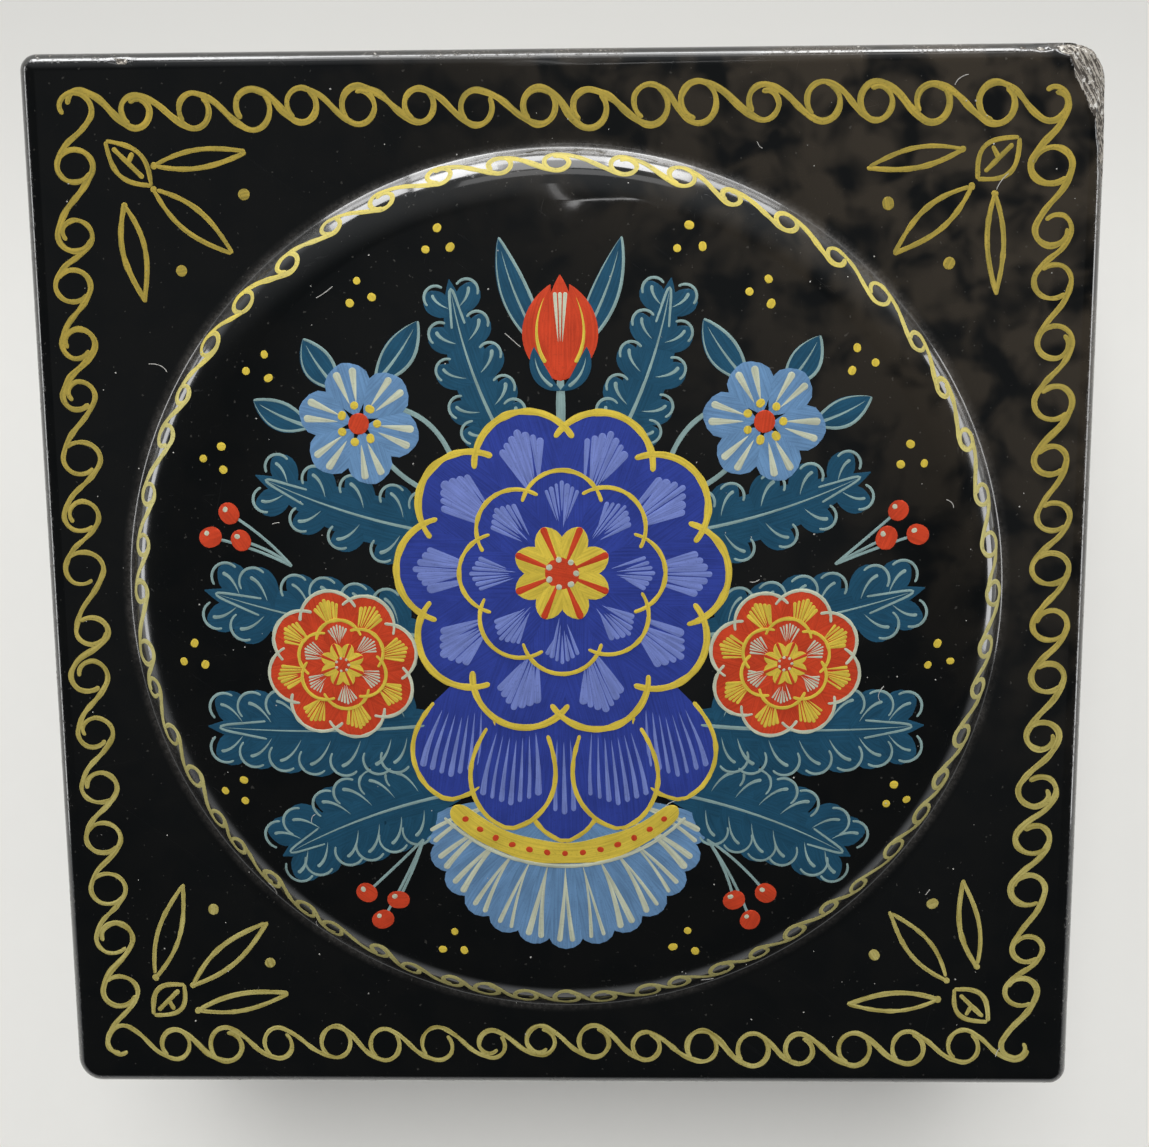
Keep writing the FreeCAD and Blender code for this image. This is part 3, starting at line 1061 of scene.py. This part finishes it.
# The sprig of each corner, in millimetres: its bud, with half its length and half its width,
# then its leaves from base to tip, with half their width, and its two dots
SPRIGS = (
    (
        ((30.1, 30.3), 1.95, 1.20),
        (
            ((27.6, 30.9), (21.1, 29.7), 0.70),
            ((28.3, 28.4), (23.1, 23.9), 0.90),
            ((29.9, 27.9), (30.2, 21.1), 0.62),
        ),
        ((22.6, 27.3), (26.9, 23.2)),
    ),
    (
        ((-30.0, 30.5), 2.15, 0.98),
        (
            ((-28.2, 30.3), (-21.6, 31.2), 0.64),
            ((-28.3, 28.7), (-22.9, 24.2), 0.86),
            ((-30.4, 27.6), (-29.3, 21.1), 0.76),
        ),
        ((-22.0, 28.3), (-26.6, 23.1)),
    ),
    (
        ((-30.1, -31.1), 1.70, 1.10),
        (
            ((-31.0, -29.3), (-28.6, -22.0), 0.84),
            ((-28.2, -29.9), (-22.4, -24.9), 0.78),
            ((-27.9, -31.9), (-20.9, -30.5), 0.66),
        ),
        ((-26.4, -23.9), (-22.3, -28.1)),
    ),
    (
        ((30.1, -31.4), 1.80, 1.08),
        (
            ((27.6, -30.9), (20.9, -31.3), 0.70),
            ((28.2, -29.4), (23.9, -24.1), 0.80),
            ((30.4, -28.3), (29.2, -21.7), 0.72),
        ),
        ((27.0, -23.4), (22.8, -27.4)),
    ),
)


def leaf_side(base, tip, bulge, run):
    """One side of a leaf or bud, as a stroke from near its base to near its tip."""
    side = leftward(tip - base) * bulge
    shares = [run[0] + (run[1] - run[0]) * k / BEND_STEPS for k in range(BEND_STEPS + 1)]
    return rounded([base.lerp(tip, t) + side * sin(pi * min(max(t, 0.0), 1.0) ** 0.92) for t in shares])


def paint_sprigs():
    """Each leaf is two strokes that meet, cross or just miss at its ends, as they came off the brush."""
    line = settings().scrolls.sprig_line
    paint = Paint(LidSurface().on_plate, seed=7)
    rng = paint.random
    for (bud, half_length, half_width), leaves, dots in SPRIGS:
        middle = spot(*bud)
        out = Vector((copysign(1, bud[0]), copysign(1, bud[1]))).normalized()
        across = leftward(out) * half_width * MM
        inner, outer = middle - out * half_length * MM, middle + out * half_length * MM
        for sign in (1, -1):
            side = leaf_side(inner, outer, half_width * 1.05 * MM * sign, (-0.02, 0.99))
            paint.stroke(side, line * rng.uniform(0.85, 1.0), shape=scroll_width, wobble=0.25)
        paint.stroke([inner.lerp(outer, 0.16), inner.lerp(outer, 0.84)], line * 0.85, wobble=0.3)
        branch = rng.choice((1, -1))
        paint.stroke([middle, middle + across * 0.75 * branch + out * 0.25 * MM], line * 0.85, wobble=0.3)
        for base, tip, half in leaves:
            for sign in (1, -1):
                run = (rng.uniform(-0.03, 0.04), rng.uniform(0.97, 1.03))
                side = leaf_side(spot(*base), spot(*tip), half * rng.uniform(0.9, 1.1) * MM * sign, run)
                paint.stroke(side, line * rng.uniform(0.8, 1.06), shape=scroll_width, wobble=0.25)
            paint.dot(spot(*base), line * 1.15)
        for dot in dots:
            paint.dot(spot(*dot), 0.78 * MM)
    paint.piece("corner_sprigs", gold_finish())


# The flowers on the dome. Their places are millimetres from its middle. Coats of paint lie on top
# of each other: veins on leaves, leaves that cross others, petals on both.
FLOWER_PAINTS = ("teal", "mist", "cobalt", "sky", "pale", "red", "yellow", "cream")
VEIN, OVER, PETAL = 0.7, 1.4, 3.0
FINE_LINE, VEIN_LINE, STEM_LINE = 0.20 * MM, 0.30 * MM, 0.34 * MM
# Root, crook and tip of each hanging petal, and its coat
FALLS = (
    ((0.0, -5.6), (0.0, -11.0), (0.0, -17.6), PETAL - 0.85),
    ((6.2, -4.6), (7.6, -9.0), (8.4, -14.4), PETAL - 0.4),
    ((-6.2, -4.6), (-7.6, -9.0), (-8.4, -14.4), PETAL - 0.4),
    ((2.8, -5.6), (3.6, -11.0), (4.0, -16.6), PETAL + 0.6),
    ((-2.8, -5.6), (-3.6, -11.0), (-4.0, -16.6), PETAL + 0.6),
)
# Base, tip, width, sway and lobes of each plume on the right of the bouquet
PLUMES = (
    ((6.5, -13.6), (20.6, -19.0), 6.4, 1.4, 6),
    ((6.5, -8.4), (25.6, -9.2), 6.6, -1.0, 7),
    ((7.0, -2.5), (25.4, 0.8), 6.2, -1.2, 6),
    ((5.0, 4.6), (21.4, 9.0), 5.4, -1.6, 5),
    ((2.5, 9.0), (7.6, 22.4), 4.8, -1.6, 5),
)
# Stems, from their root to their flower
STEMS = (
    ((0.0, 11.0), (-0.3, 13.5), (0.0, 16.2)),
    ((8.4, 7.6), (10.8, 8.4), (12.4, 10.4)),
    ((7.2, 9.2), (8.2, 12.8), (11.0, 13.6)),
)
# Base, tip, width and sway of each small leaf
LEAVES = (
    ((12.8, 15.4), (9.8, 19.6), 2.2, 0.4),
    ((15.4, 15.0), (17.8, 18.4), 2.2, -0.4),
    ((17.4, 12.4), (21.4, 14.2), 2.0, -0.4),
    ((0.8, 17.2), (4.2, 25.2), 2.0, -0.9),
)
# The foot of each bunch of berries, and its berries
BERRIES = (
    ((19.0, 2.6), ((22.6, 4.4), (24.8, 4.6), (23.4, 6.3))),
    ((10.2, -17.4), ((12.2, -22.2), (14.5, -21.7), (13.4, -23.8))),
)
DOT_TRIOS = (
    (8.6, -25.4), (24.0, -14.4), (26.4, -4.2), (24.4, 10.2), (20.9, 16.6), (13.8, 21.8), (8.6, 25.2),
)
# Share of the radius, petals, and paints of the petals, their lights and rims, for each ring of a blossom
COBALT_TIERS = ((1.0, 10, ("cobalt", "sky", "yellow")), (0.62, 8, ("cobalt", "sky", "yellow")))
RED_TIERS = ((1.0, 8, ("red", "yellow", "cream")), (0.60, 6, ("red", "cream", "yellow")))
# The place and radius of the blossom in the middle, and of the blossom and small flower on the right
MIDDLE_BLOSSOM = ((0.0, 2.2), 11.6)
SIDE_BLOSSOM = ((15.6, -4.4), 5.4)
SIDE_FLOWER = ((14.0, 12.6), 4.3)
# Base, tip and width of the bud
BUD = ((0.0, 15.5), (0.0, 22.0), 3.6)
# The fan of commas: its foot, its reach, how much shorter they grow to the sides, and degrees between
FAN_FOOT = (0.0, -14.6)
FAN_REACH, FAN_LOSS, FAN_STEP = 11.4, 0.16, 12.5
# Width of a hanging petal, and the middle, radius and degrees of the band and the hem that gather them
FALL_WIDTH = 6.2
BAND_MIDDLE = (0.0, -7.4)
BAND, HEM = (11.0, -137, -43), (12.0, -136, -44)


def paint_plume(paints, base, tip, width, sway, lobes, coat):
    """A long leaf of many lobes, each with a pale rim and a pale vein."""
    teal, mist = paints["teal"], paints["mist"]
    way = tip - base
    side = leftward(way)
    spine = bend(base, (base + tip) / 2 + side * sway, tip)
    teal.stroke(spine, width * 0.60, coat, leaf_width, 9)
    for k in range(lobes):
        t = 0.20 + 0.62 * k / (lobes - 1)
        here = round(BEND_STEPS * t)
        foot = spine[here]
        step = spine[here + 1] - spine[here - 1]
        reach = width * (0.62 - 0.30 * abs(t - 0.45))
        for sign in (-1, 1):
            turn = atan2(step.y, step.x) + sign * radians(62 - 30 * t)
            end = foot + heading(turn) * reach
            crook = foot + heading(turn + sign * 0.5) * reach * 0.5
            teal.stroke(bend(foot, crook, end, steps=10), width * 0.36, coat, petal_width, 9)
            rim = turned(foot + heading(turn) * reach * 0.74, width * 0.165, turn - 1.5, turn + 1.5)
            mist.stroke(rounded(rim), FINE_LINE, coat + VEIN, scroll_width)
            vein = bend(end.lerp(foot, 0.14), end.lerp(crook, 0.6), end.lerp(foot, 0.75), steps=8)
            mist.stroke(vein, VEIN_LINE, coat + VEIN, comma_width)
    lobe = side * width * 0.10
    rim = [spine[-5] + lobe, tip + way.normalized() * width * 0.04, spine[-5] - lobe]
    mist.stroke(rounded(rim, 3), FINE_LINE, coat + VEIN, scroll_width)
    mist.stroke(spine[1:-1], STEM_LINE, coat + VEIN, comma_width)


def paint_leaf(paints, base, tip, width, sway):
    """A small leaf with pale edges."""
    mist = paints["mist"]
    side = leftward(tip - base)
    spine = bend(base, (base + tip) / 2 + side * sway, tip)
    paints["teal"].stroke(spine, width, 0, leaf_width, 9)
    for sign, shape in ((-1, scroll_width), (1, comma_width)):
        half = side * sign * width * 0.46
        edge = [p + half * max(sin(pi * k / BEND_STEPS), 0) ** 0.85 for k, p in enumerate(spine)]
        mist.stroke(edge, 0.22 * MM, VEIN, shape)
    mist.stroke(spine[1:-2], VEIN_LINE, VEIN, comma_width)


def paint_petals(paints, middle, radius, petals, colours, coat, rng):
    """One ring of broad petals with light strokes and a beaded rim."""
    petal, light, edge = (paints[name] for name in colours)
    start = rng.uniform(0, tau)
    wide = radius * 2.5 * sin(pi / petals) * 0.82
    for k in range(petals):
        turn = start + tau * (k + rng.uniform(-0.04, 0.04)) / petals
        petal.stroke(spoke(middle, turn, radius, (0.20, 0.6, 1.0)), wide, coat, petal_width, 11)
        for place in range(-3, 4):
            lean = place * 0.50 / petals
            tip = middle + heading(turn + lean) * radius * (0.90 - 0.026 * abs(place))
            root = middle + heading(turn + lean * 0.5) * radius * rng.uniform(0.44, 0.62)
            thin = radius * rng.uniform(0.035, 0.060)
            light.stroke([tip, (tip + root) / 2, root], thin, coat + 1, comma_width)
        rim = turned(middle + heading(turn) * (radius - wide * 0.50), wide * 0.50, turn - 1.35, turn + 1.35)
        edge.stroke(rounded(rim), max(radius * 0.042, 0.24 * MM), coat + 2, scroll_width, wobble=0.3)


def petal_rim(path, width):
    """The outline of the outer part of a petal, from one side round its tip to the other."""
    last = len(path) - 1
    sides = ([], [])
    for k in range(last // 3, last):
        reach = leftward(path[k + 1] - path[k - 1]) * petal_width(k, last, width) * width * 0.49
        for edge, sign in zip(sides, (1, -1)):
            edge.append(path[k] + reach * sign)
    return sides[0] + [path[last]] + sides[1][::-1]


def paint_blossom(paints, middle, radius, tiers, seed):
    """A round blossom: rings of petals, each smaller than the last, round a full heart."""
    rng = random.Random(seed)
    coat = PETAL + 2.4
    for share, petals, colours in tiers:
        paint_petals(paints, middle, radius * share, petals, colours, coat, rng)
        coat += 3
    for k in range(8):
        path = spoke(middle, tau * (k + 0.5) / 8, radius, (0.02, 0.16, 0.30))
        paints["yellow"].stroke(path, radius * 0.17, coat, petal_width, 7)
        paints["red"].stroke([path[2], path[0]], radius * 0.045, coat + 1, comma_width)
    paints["red"].dot(middle, radius * 0.19, coat + 1)
    for k in range(7):
        paints["cream"].dot(middle + heading(tau * k / 7) * radius * 0.085, radius * 0.035, coat + 2)


def paint_small_flower(paints, middle, radius, seed):
    """Six pale petals round a red heart."""
    start = random.Random(seed).uniform(0, tau)
    for k in range(6):
        turn = start + tau * k / 6
        petal = spoke(middle, turn, radius, (0.12, 0.5, 1.0))
        paints["pale"].stroke(petal, radius * 0.74, PETAL, petal_width, 9)
        for lean in (-0.16, 0.16):
            light = spoke(middle, turn + lean, radius, (0.90, 0.62, 0.34))
            paints["cream"].stroke(light, radius * 0.13, PETAL + 1, comma_width)
    for k in range(7):
        paints["yellow"].dot(middle + heading(tau * k / 7) * radius * 0.30, radius * 0.13, PETAL + 2)
    paints["red"].dot(middle, radius * 0.34, PETAL + 3)


def paint_bud(paints, base, tip, width):
    """A bud of three petals in a green cup."""
    way = tip - base
    side = leftward(way) * width
    for sign in (-1, 1):
        path = bend(base, base + way * 0.4 + side * sign * 0.8, tip + side * sign * 0.18)
        paints["red"].stroke(path, width * 0.55, PETAL, leaf_width, 9)
        paints["yellow"].stroke(path[4:-2], width * 0.08, PETAL + 2, comma_width)
    paints["red"].stroke([base, base + way * 0.5, tip + way * 0.1], width * 0.6, PETAL + 1, leaf_width, 9)
    for lean in (-0.10, 0.0, 0.10):
        light = [base + way * 0.92 + side * lean, base + way * 0.40 + side * lean * 0.4]
        paints["cream"].stroke(light, width * 0.08, PETAL + 2, comma_width)
    for sign in (-1, 1):
        out = base + side * sign * 0.5
        cup = bend(base - way * 0.1, out, out + way * 0.35)
        paints["teal"].stroke(cup, width * 0.3, PETAL + 3, leaf_width, 7)
        paints["mist"].stroke(cup[3:-3], width * 0.07, PETAL + 4, comma_width)


def paint_berries(paints, foot, places):
    for place in places:
        stem = bend(foot, (foot + place) / 2 + spot(0.4, 0.3), place, steps=10)
        paints["mist"].stroke(stem, FINE_LINE, VEIN)
        paints["red"].dot(place, 1.4 * MM, PETAL)
        paints["cream"].dot(place + spot(-0.26, 0.28), 0.34 * MM, PETAL + 1)


def paint_fan(paints, middle, rng):
    """Broad pale commas that spread below the blossom, with cream lights."""
    for k in range(-6, 7):
        turn = radians(-90 + FAN_STEP * k)
        reach = (FAN_REACH - FAN_LOSS * abs(k)) * MM
        crook = heading(turn + 0.04 * k) * reach * 0.6
        path = bend(middle + heading(turn) * reach, middle + crook, middle)
        paints["pale"].stroke(path, 2.9 * MM, 0, comma_width, 9)
        for lean in (-0.045, 0.045):
            tip = middle + heading(turn + lean) * reach * 0.95
            light = bend(tip, middle + crook * 1.02, middle + crook * 0.7)
            paints["cream"].stroke(light, rng.uniform(0.34, 0.62) * MM, VEIN, comma_width)


def paint_falls(paints, rng):
    """Long blue petals that hang from the blossom, gathered by a thick yellow band."""
    width = FALL_WIDTH * MM
    for foot, crook, tip, coat in FALLS:
        path = bend(spot(*foot), spot(*crook), spot(*tip))
        paints["cobalt"].stroke(path, width, coat, petal_width, 13)
        for place in range(-3, 4):
            shift = spot(place * 0.66, 0.25 * abs(place))
            light = [path[15] + shift, path[12] + shift * 0.95, path[7] + shift * 0.7]
            paints["sky"].stroke(rounded(light, 2), rng.uniform(0.34, 0.56) * MM, coat + 0.5, comma_width)
        rim = rounded(petal_rim(path, width))
        paints["yellow"].stroke(rim, 0.34 * MM, coat + 0.6, scroll_width, wobble=0.3)
    band, hem = (
        turned(spot(*BAND_MIDDLE), radius * MM, radians(start), radians(end), 28)
        for radius, start, end in (BAND, HEM)
    )
    paints["yellow"].stroke(rounded(band), 1.7 * MM, PETAL + 4, scroll_width, 11, 0.2)
    for place in band[2:-1:2]:
        paints["red"].dot(place, 0.42 * MM, PETAL + 5)
    paints["cream"].stroke(rounded(hem), 0.26 * MM, PETAL + 5, scroll_width, 5, 0.3)


def paint_half(paints, sign, rng):
    """The flowers on the right of the bouquet, or with a sign of -1 on its left."""
    def at(place):
        return spot(place[0] * sign, place[1])

    for i, (base, tip, width, sway, lobes) in enumerate(PLUMES):
        paint_plume(paints, at(base), at(tip), width * MM, sway * sign * MM, lobes, i % 2 * OVER)
    for stem in STEMS:
        paints["mist"].stroke(bend(*map(at, stem)), STEM_LINE, OVER + VEIN)
    for base, tip, width, sway in LEAVES:
        paint_leaf(paints, at(base), at(tip), width * MM, sway * sign * MM)
    for foot, places in BERRIES:
        paint_berries(paints, at(foot), [at(place) for place in places])
    for x, y in DOT_TRIOS:
        start = pi / 2 + rng.uniform(-0.5, 0.5)
        middle = spot(x * sign + rng.uniform(-0.4, 0.4), y + rng.uniform(-0.4, 0.4))
        for k in range(3):
            place = middle + heading(start + tau * k / 3) * rng.uniform(0.85, 1.05) * MM
            paints["yellow"].dot(place, rng.uniform(0.50, 0.58) * MM)
    middle, radius = SIDE_BLOSSOM
    paint_blossom(paints, at(middle), radius * MM, RED_TIERS, seed=31 + sign)
    middle, radius = SIDE_FLOWER
    paint_small_flower(paints, at(middle), radius * MM, seed=41 + sign)


def paint_flowers():
    """A bouquet, the same on both sides but for the painter's hand."""
    on_plate = LidSurface().on_plate
    paints = {name: Paint(on_plate, seed=20 + i) for i, name in enumerate(FLOWER_PAINTS)}
    rng = random.Random(60)
    for sign in (1, -1):
        paint_half(paints, sign, rng)
    paint_fan(paints, spot(*FAN_FOOT), rng)
    paint_falls(paints, rng)
    base, tip, width = BUD
    paint_bud(paints, spot(*base), spot(*tip), width * MM)
    middle, radius = MIDDLE_BLOSSOM
    paint_blossom(paints, spot(*middle), radius * MM, COBALT_TIERS, seed=50)
    for name, paint in paints.items():
        paint.piece("flowers_" + name, paint_finish(name))


DUST_COAT = 2
GRAINS = 150
HAIRS = 20


def scatter_dust():
    """Fine dust and a few hairs of lint on the lid."""
    paint = Paint(LidSurface().on_plate, seed=11)
    rng = paint.random
    reach = HALF_WIDTH - 2 * MM
    for _ in range(GRAINS):
        place = Vector((rng.uniform(-reach, reach), rng.uniform(-reach, reach)))
        paint.dot(place, rng.uniform(0.04, 0.11) * MM, DUST_COAT)
    for _ in range(HAIRS):
        start = Vector((rng.uniform(-reach, reach), rng.uniform(-reach, reach)))
        turn = rng.uniform(0, tau)
        run = rng.uniform(0.5, 1.5) * MM
        end = start + heading(turn + rng.uniform(-1, 1)) * run
        paint.stroke(bend(start, start + heading(turn) * run * 0.5, end), 0.05 * MM, DUST_COAT)
    paint.piece("dust_and_lint", dust_finish())


# The stage
CAMERA_PLACE = Vector((4.04, 24.16, 162.15)) * MM
CAMERA_AIM = Vector((0.76, 1.46, 35.0)) * MM
CAMERA_ROLL = radians(-0.47)
CAMERA_LENS_SHARE = 1800 / 1149
SENSOR_WIDTH = 36.0
LIGHT_AIM = Vector((0, 0, 0.035))
LIGHT_DISTANCE = 0.6
# The panes of the window behind the box and a low light at each side: name, azimuth, lowest and
# highest angle above the horizon, width and turn about its own middle, in degrees, and radiance
SOFTBOXES = (
    ("left_pane_softbox", 108, 0, 16, 13, 0, 11.0),
    ("middle_low_pane_softbox", 93, 0, 9, 17, 0, 8.0),
    ("middle_pane_softbox", 93, 9, 22, 17, 0, 3.2),
    ("right_pane_softbox", 78, 0, 15, 13, 0, 10.0),
    ("far_left_pane_softbox", 122, 0, 12, 13, 0, 7.5),
    ("far_right_pane_softbox", 64, 0, 10, 13, 0, 6.0),
    ("window_top_softbox", 91, 24, 32, 30, 0, 1.1),
    ("window_sill_softbox", 84.4, 64.7, 65.5, 13.3, 65.3, 3.2),
    ("window_side_softbox", 94, 46, 69, 0.8, 0, 1.7),
    ("left_low_softbox", 176, 0, 7, 44, 0, 4.5),
    ("right_low_softbox", 4, 0, 9, 44, 0, 4.5),
)
SUN_AZIMUTH = 92
SUN_HEIGHT = 60
SUN_SOFTNESS = 32
SUN_LEVEL = 0.68
SKY_TONE = (0.96, 0.985, 1.0, 1.0)
FLOOR_REACH = 3.0
FLOOR_LIFT = 0.17


def make_camera():
    data = bpy.data.cameras.new("camera")
    data.sensor_width = SENSOR_WIDTH
    data.lens = SENSOR_WIDTH * CAMERA_LENS_SHARE
    data.clip_start = 0.01
    camera = placed("camera", data)
    back = (CAMERA_PLACE - CAMERA_AIM).normalized()
    right = Vector((0, 1, 0)).cross(back).normalized()
    turn = Matrix((right, back.cross(right), back)).transposed() @ Matrix.Rotation(CAMERA_ROLL, 3, "Z")
    camera.matrix_world = Matrix.Translation(CAMERA_PLACE) @ turn.to_4x4()
    bpy.context.scene.camera = camera


def make_light(name, kind, azimuth, height, roll=0.0):
    """A light that shines on the box from these degrees round it and above the horizon."""
    turn, rise = radians(azimuth), radians(height)
    out = Vector((cos(turn) * cos(rise), sin(turn) * cos(rise), sin(rise)))
    light = placed(name, bpy.data.lights.new(name, kind))
    light.location = LIGHT_AIM + out * LIGHT_DISTANCE
    facing = (-out).to_track_quat("-Z", "Y").to_matrix() @ Matrix.Rotation(radians(roll), 3, "Z")
    light.rotation_euler = facing.to_euler()
    return light


def make_softbox(name, azimuth, low, high, width, roll, radiance):
    light = make_light(name, "AREA", azimuth, (low + high) / 2, roll)
    light.visible_camera = False
    data = light.data
    data.shape = "RECTANGLE"
    data.size = 2 * LIGHT_DISTANCE * tan(radians(width / 2))
    data.size_y = 2 * LIGHT_DISTANCE * tan(radians((high - low) / 2))
    data.energy = radiance * pi * data.size * data.size_y


def make_sun():
    """A broad soft light from above the window that doesn't show in the lacquer."""
    sun = make_light("soft_sun", "SUN", SUN_AZIMUTH, SUN_HEIGHT)
    sun.visible_glossy = False
    sun.data.energy = SUN_LEVEL * pi / sin(radians(SUN_HEIGHT))
    sun.data.angle = radians(SUN_SOFTNESS)


def make_world():
    """A dark room with a pale horizon, a little lighter overhead and towards the window behind the box."""
    world = bpy.data.worlds.new("studio")
    world.use_nodes = True
    wires = Wiring(world.node_tree)
    direction = wires.add("ShaderNodeTexCoord", output="Generated")
    axes = wires.add("ShaderNodeSeparateXYZ", {0: direction}).node.outputs
    horizon = wires.remap(axes["Z"], 0.02, 0.27, 0.65, 0.03)
    behind = wires.remap(axes["Y"], 0.3, 0.8, 0.0, 0.3)
    overhead = wires.remap(axes["Z"], 0.90, 0.965, 0.0, 0.05)
    strength = wires.plus(horizon, behind, overhead)
    wires.join(world.node_tree.nodes["Background"], {"Color": SKY_TONE, "Strength": strength})
    bpy.context.scene.world = world


def floor_finish():
    """A pale floor with painted shade that makes it a little darker behind the box, and paler to the camera
    and in gloss.
    """
    tone = settings().lacquer.floor

    def wire(wires):
        grain = wires.noise(3, 4.0)
        grained = wires.mix(grain, opaque(tone), opaque(tone, 0.97))
        depth = wires.axes()["Y"]
        # Painted shade: darker from 10 mm behind the box, fading back out between 90 and 300 mm.
        near = wires.remap(depth, 90 * MM, 300 * MM, 1.0, 0.0)
        behind = wires.times(wires.remap(depth, 10 * MM, 60 * MM), near)
        rays = wires.add("ShaderNodeLightPath").node.outputs
        seen = wires.most(rays["Is Camera Ray"], rays["Is Glossy Ray"], rays["Is Transmission Ray"])
        return {
            "Base Color": wires.mix(behind, grained, opaque(tone, 0.72)),
            "Roughness": wires.remap(grain, 0.3, 0.7, 0.85, 0.95),
            "Emission Strength": wires.times(seen, FLOOR_LIFT),
        }

    return material("floor", wire, {"Specular IOR Level": 0.1, "Emission Color": opaque(tone)})


def make_floor():
    mesh = bpy.data.meshes.new("floor")
    corners = [(x * FLOOR_REACH, y * FLOOR_REACH, 0.0) for x, y in ((-1, -1), (1, -1), (1, 1), (-1, 1))]
    mesh.from_pydata(corners, [], [(0, 1, 2, 3)])
    mesh.materials.append(floor_finish())
    placed("floor", mesh)


def dress(nodes, finish):
    """Gives CAD nodes their material."""
    for node in nodes:
        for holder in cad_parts[node].material_slots:
            holder.material = finish


class BoxSettings(PropertyGroup):
    lid: PointerProperty(type=LidSizes)
    wear: PointerProperty(type=WearSizes)
    scrolls: PointerProperty(type=ScrollSizes)
    paint: PointerProperty(type=PaintColours)
    lacquer: PointerProperty(type=LacquerColours)


class MakeStage(Operator):
    """Set the camera, the soft lights and the pale floor"""
    bl_idname = "lacquer_box.stage"
    bl_label = "Stage"

    def execute(self, context):
        context.scene.view_settings.view_transform = "Standard"
        make_camera()
        for softbox in SOFTBOXES:
            make_softbox(*softbox)
        make_sun()
        make_world()
        make_floor()
        return {"FINISHED"}


class MakeBoxFinish(Operator):
    """Lacquer the wall, the frame, the base and the collar"""
    bl_idname = "lacquer_box.box_finish"
    bl_label = "Lacquer on the box"

    def execute(self, context):
        dress(["body_wall"], black_lacquer("black_lacquer_wall", worn_edges))
        dress(["lid_frame"], black_lacquer("black_lacquer_frame", worn_edges, inside_lid_frame))
        dress(["base_board"], black_lacquer("black_lacquer_base", worn_edges, above_foot))
        dress(["lip_collar"], red_lacquer())
        return {"FINISHED"}


class MakeHingeFinish(Operator):
    """Give the hinge its aged brass and its steel pin"""
    bl_idname = "lacquer_box.hinge_finish"
    bl_label = "Metal of the hinge"

    def execute(self, context):
        dress(["hinge_body_leaf", "hinge_lid_leaf"], metal("aged_brass", "#D9B36A", "#6E4F25"))
        dress(["hinge_body_tacks", "hinge_lid_tacks"], metal("tack_brass", "#CFA65A", "#5C4020"))
        dress(["hinge_pin"], metal("pin_steel", "#B9B9BB", "#4A4540"))
        return {"FINISHED"}


class MakeLid(Operator):
    """Make the polished lid board with its dome and its worn corners"""
    bl_idname = "lacquer_box.lid"
    bl_label = "Lid board"

    def execute(self, context):
        finishes = [black_lacquer("black_lacquer_lid", worn_lid, dust_and_sheen_of=valley_dust), red_lacquer()]
        piece = shown(lid_mesh(LidSurface()), "lid_board_lacquered", finishes)
        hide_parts("lid_board")
        return {"FINISHED"}


class PaintBorder(Operator):
    """Paint the gold scrolls along the four sides of the lid"""
    bl_idname = "lacquer_box.border"
    bl_label = "Scroll border"

    def execute(self, context):
        paint_border()
        return {"FINISHED"}


class PaintSprigs(Operator):
    """Paint a sprig of leaves in each corner of the lid"""
    bl_idname = "lacquer_box.sprigs"
    bl_label = "Corner sprigs"

    def execute(self, context):
        paint_sprigs()
        return {"FINISHED"}


class PaintRing(Operator):
    """Paint the yellow scrolls round the dome"""
    bl_idname = "lacquer_box.ring"
    bl_label = "Ring of scrolls"

    def execute(self, context):
        paint_ring()
        return {"FINISHED"}


class PaintFlowers(Operator):
    """Paint the bouquet on the dome"""
    bl_idname = "lacquer_box.flowers"
    bl_label = "Flowers"

    def execute(self, context):
        paint_flowers()
        return {"FINISHED"}


class ScatterDust(Operator):
    """Scatter dust and lint on the lid"""
    bl_idname = "lacquer_box.dust"
    bl_label = "Dust and lint"

    def execute(self, context):
        scatter_dust()
        return {"FINISHED"}


STEPS = (
    MakeStage, MakeBoxFinish, MakeHingeFinish, MakeLid,
    PaintBorder, PaintSprigs, PaintRing, PaintFlowers, ScatterDust,
)


class BoxPanel(Panel):
    """The steps that make the box, in order"""
    bl_idname = "VIEW3D_PT_lacquer_box"
    bl_label = "Lacquer box"
    bl_space_type = "VIEW_3D"
    bl_region_type = "UI"
    bl_category = "Lacquer box"

    def draw(self, context):
        for step in STEPS:
            self.layout.operator(step.bl_idname)


GROUPS = (LidSizes, WearSizes, ScrollSizes, PaintColours, LacquerColours, BoxSettings)


def register():
    for made in GROUPS + STEPS + (BoxPanel,):
        bpy.utils.register_class(made)
    bpy.types.Scene.lacquer_box = PointerProperty(type=BoxSettings)


def unregister():
    del bpy.types.Scene.lacquer_box
    for made in reversed(GROUPS + STEPS + (BoxPanel,)):
        bpy.utils.unregister_class(made)


def main():
    register()
    for step in STEPS:
        getattr(bpy.ops.lacquer_box, step.bl_idname.split(".")[1])()


if __name__ == "__main__":
    main()
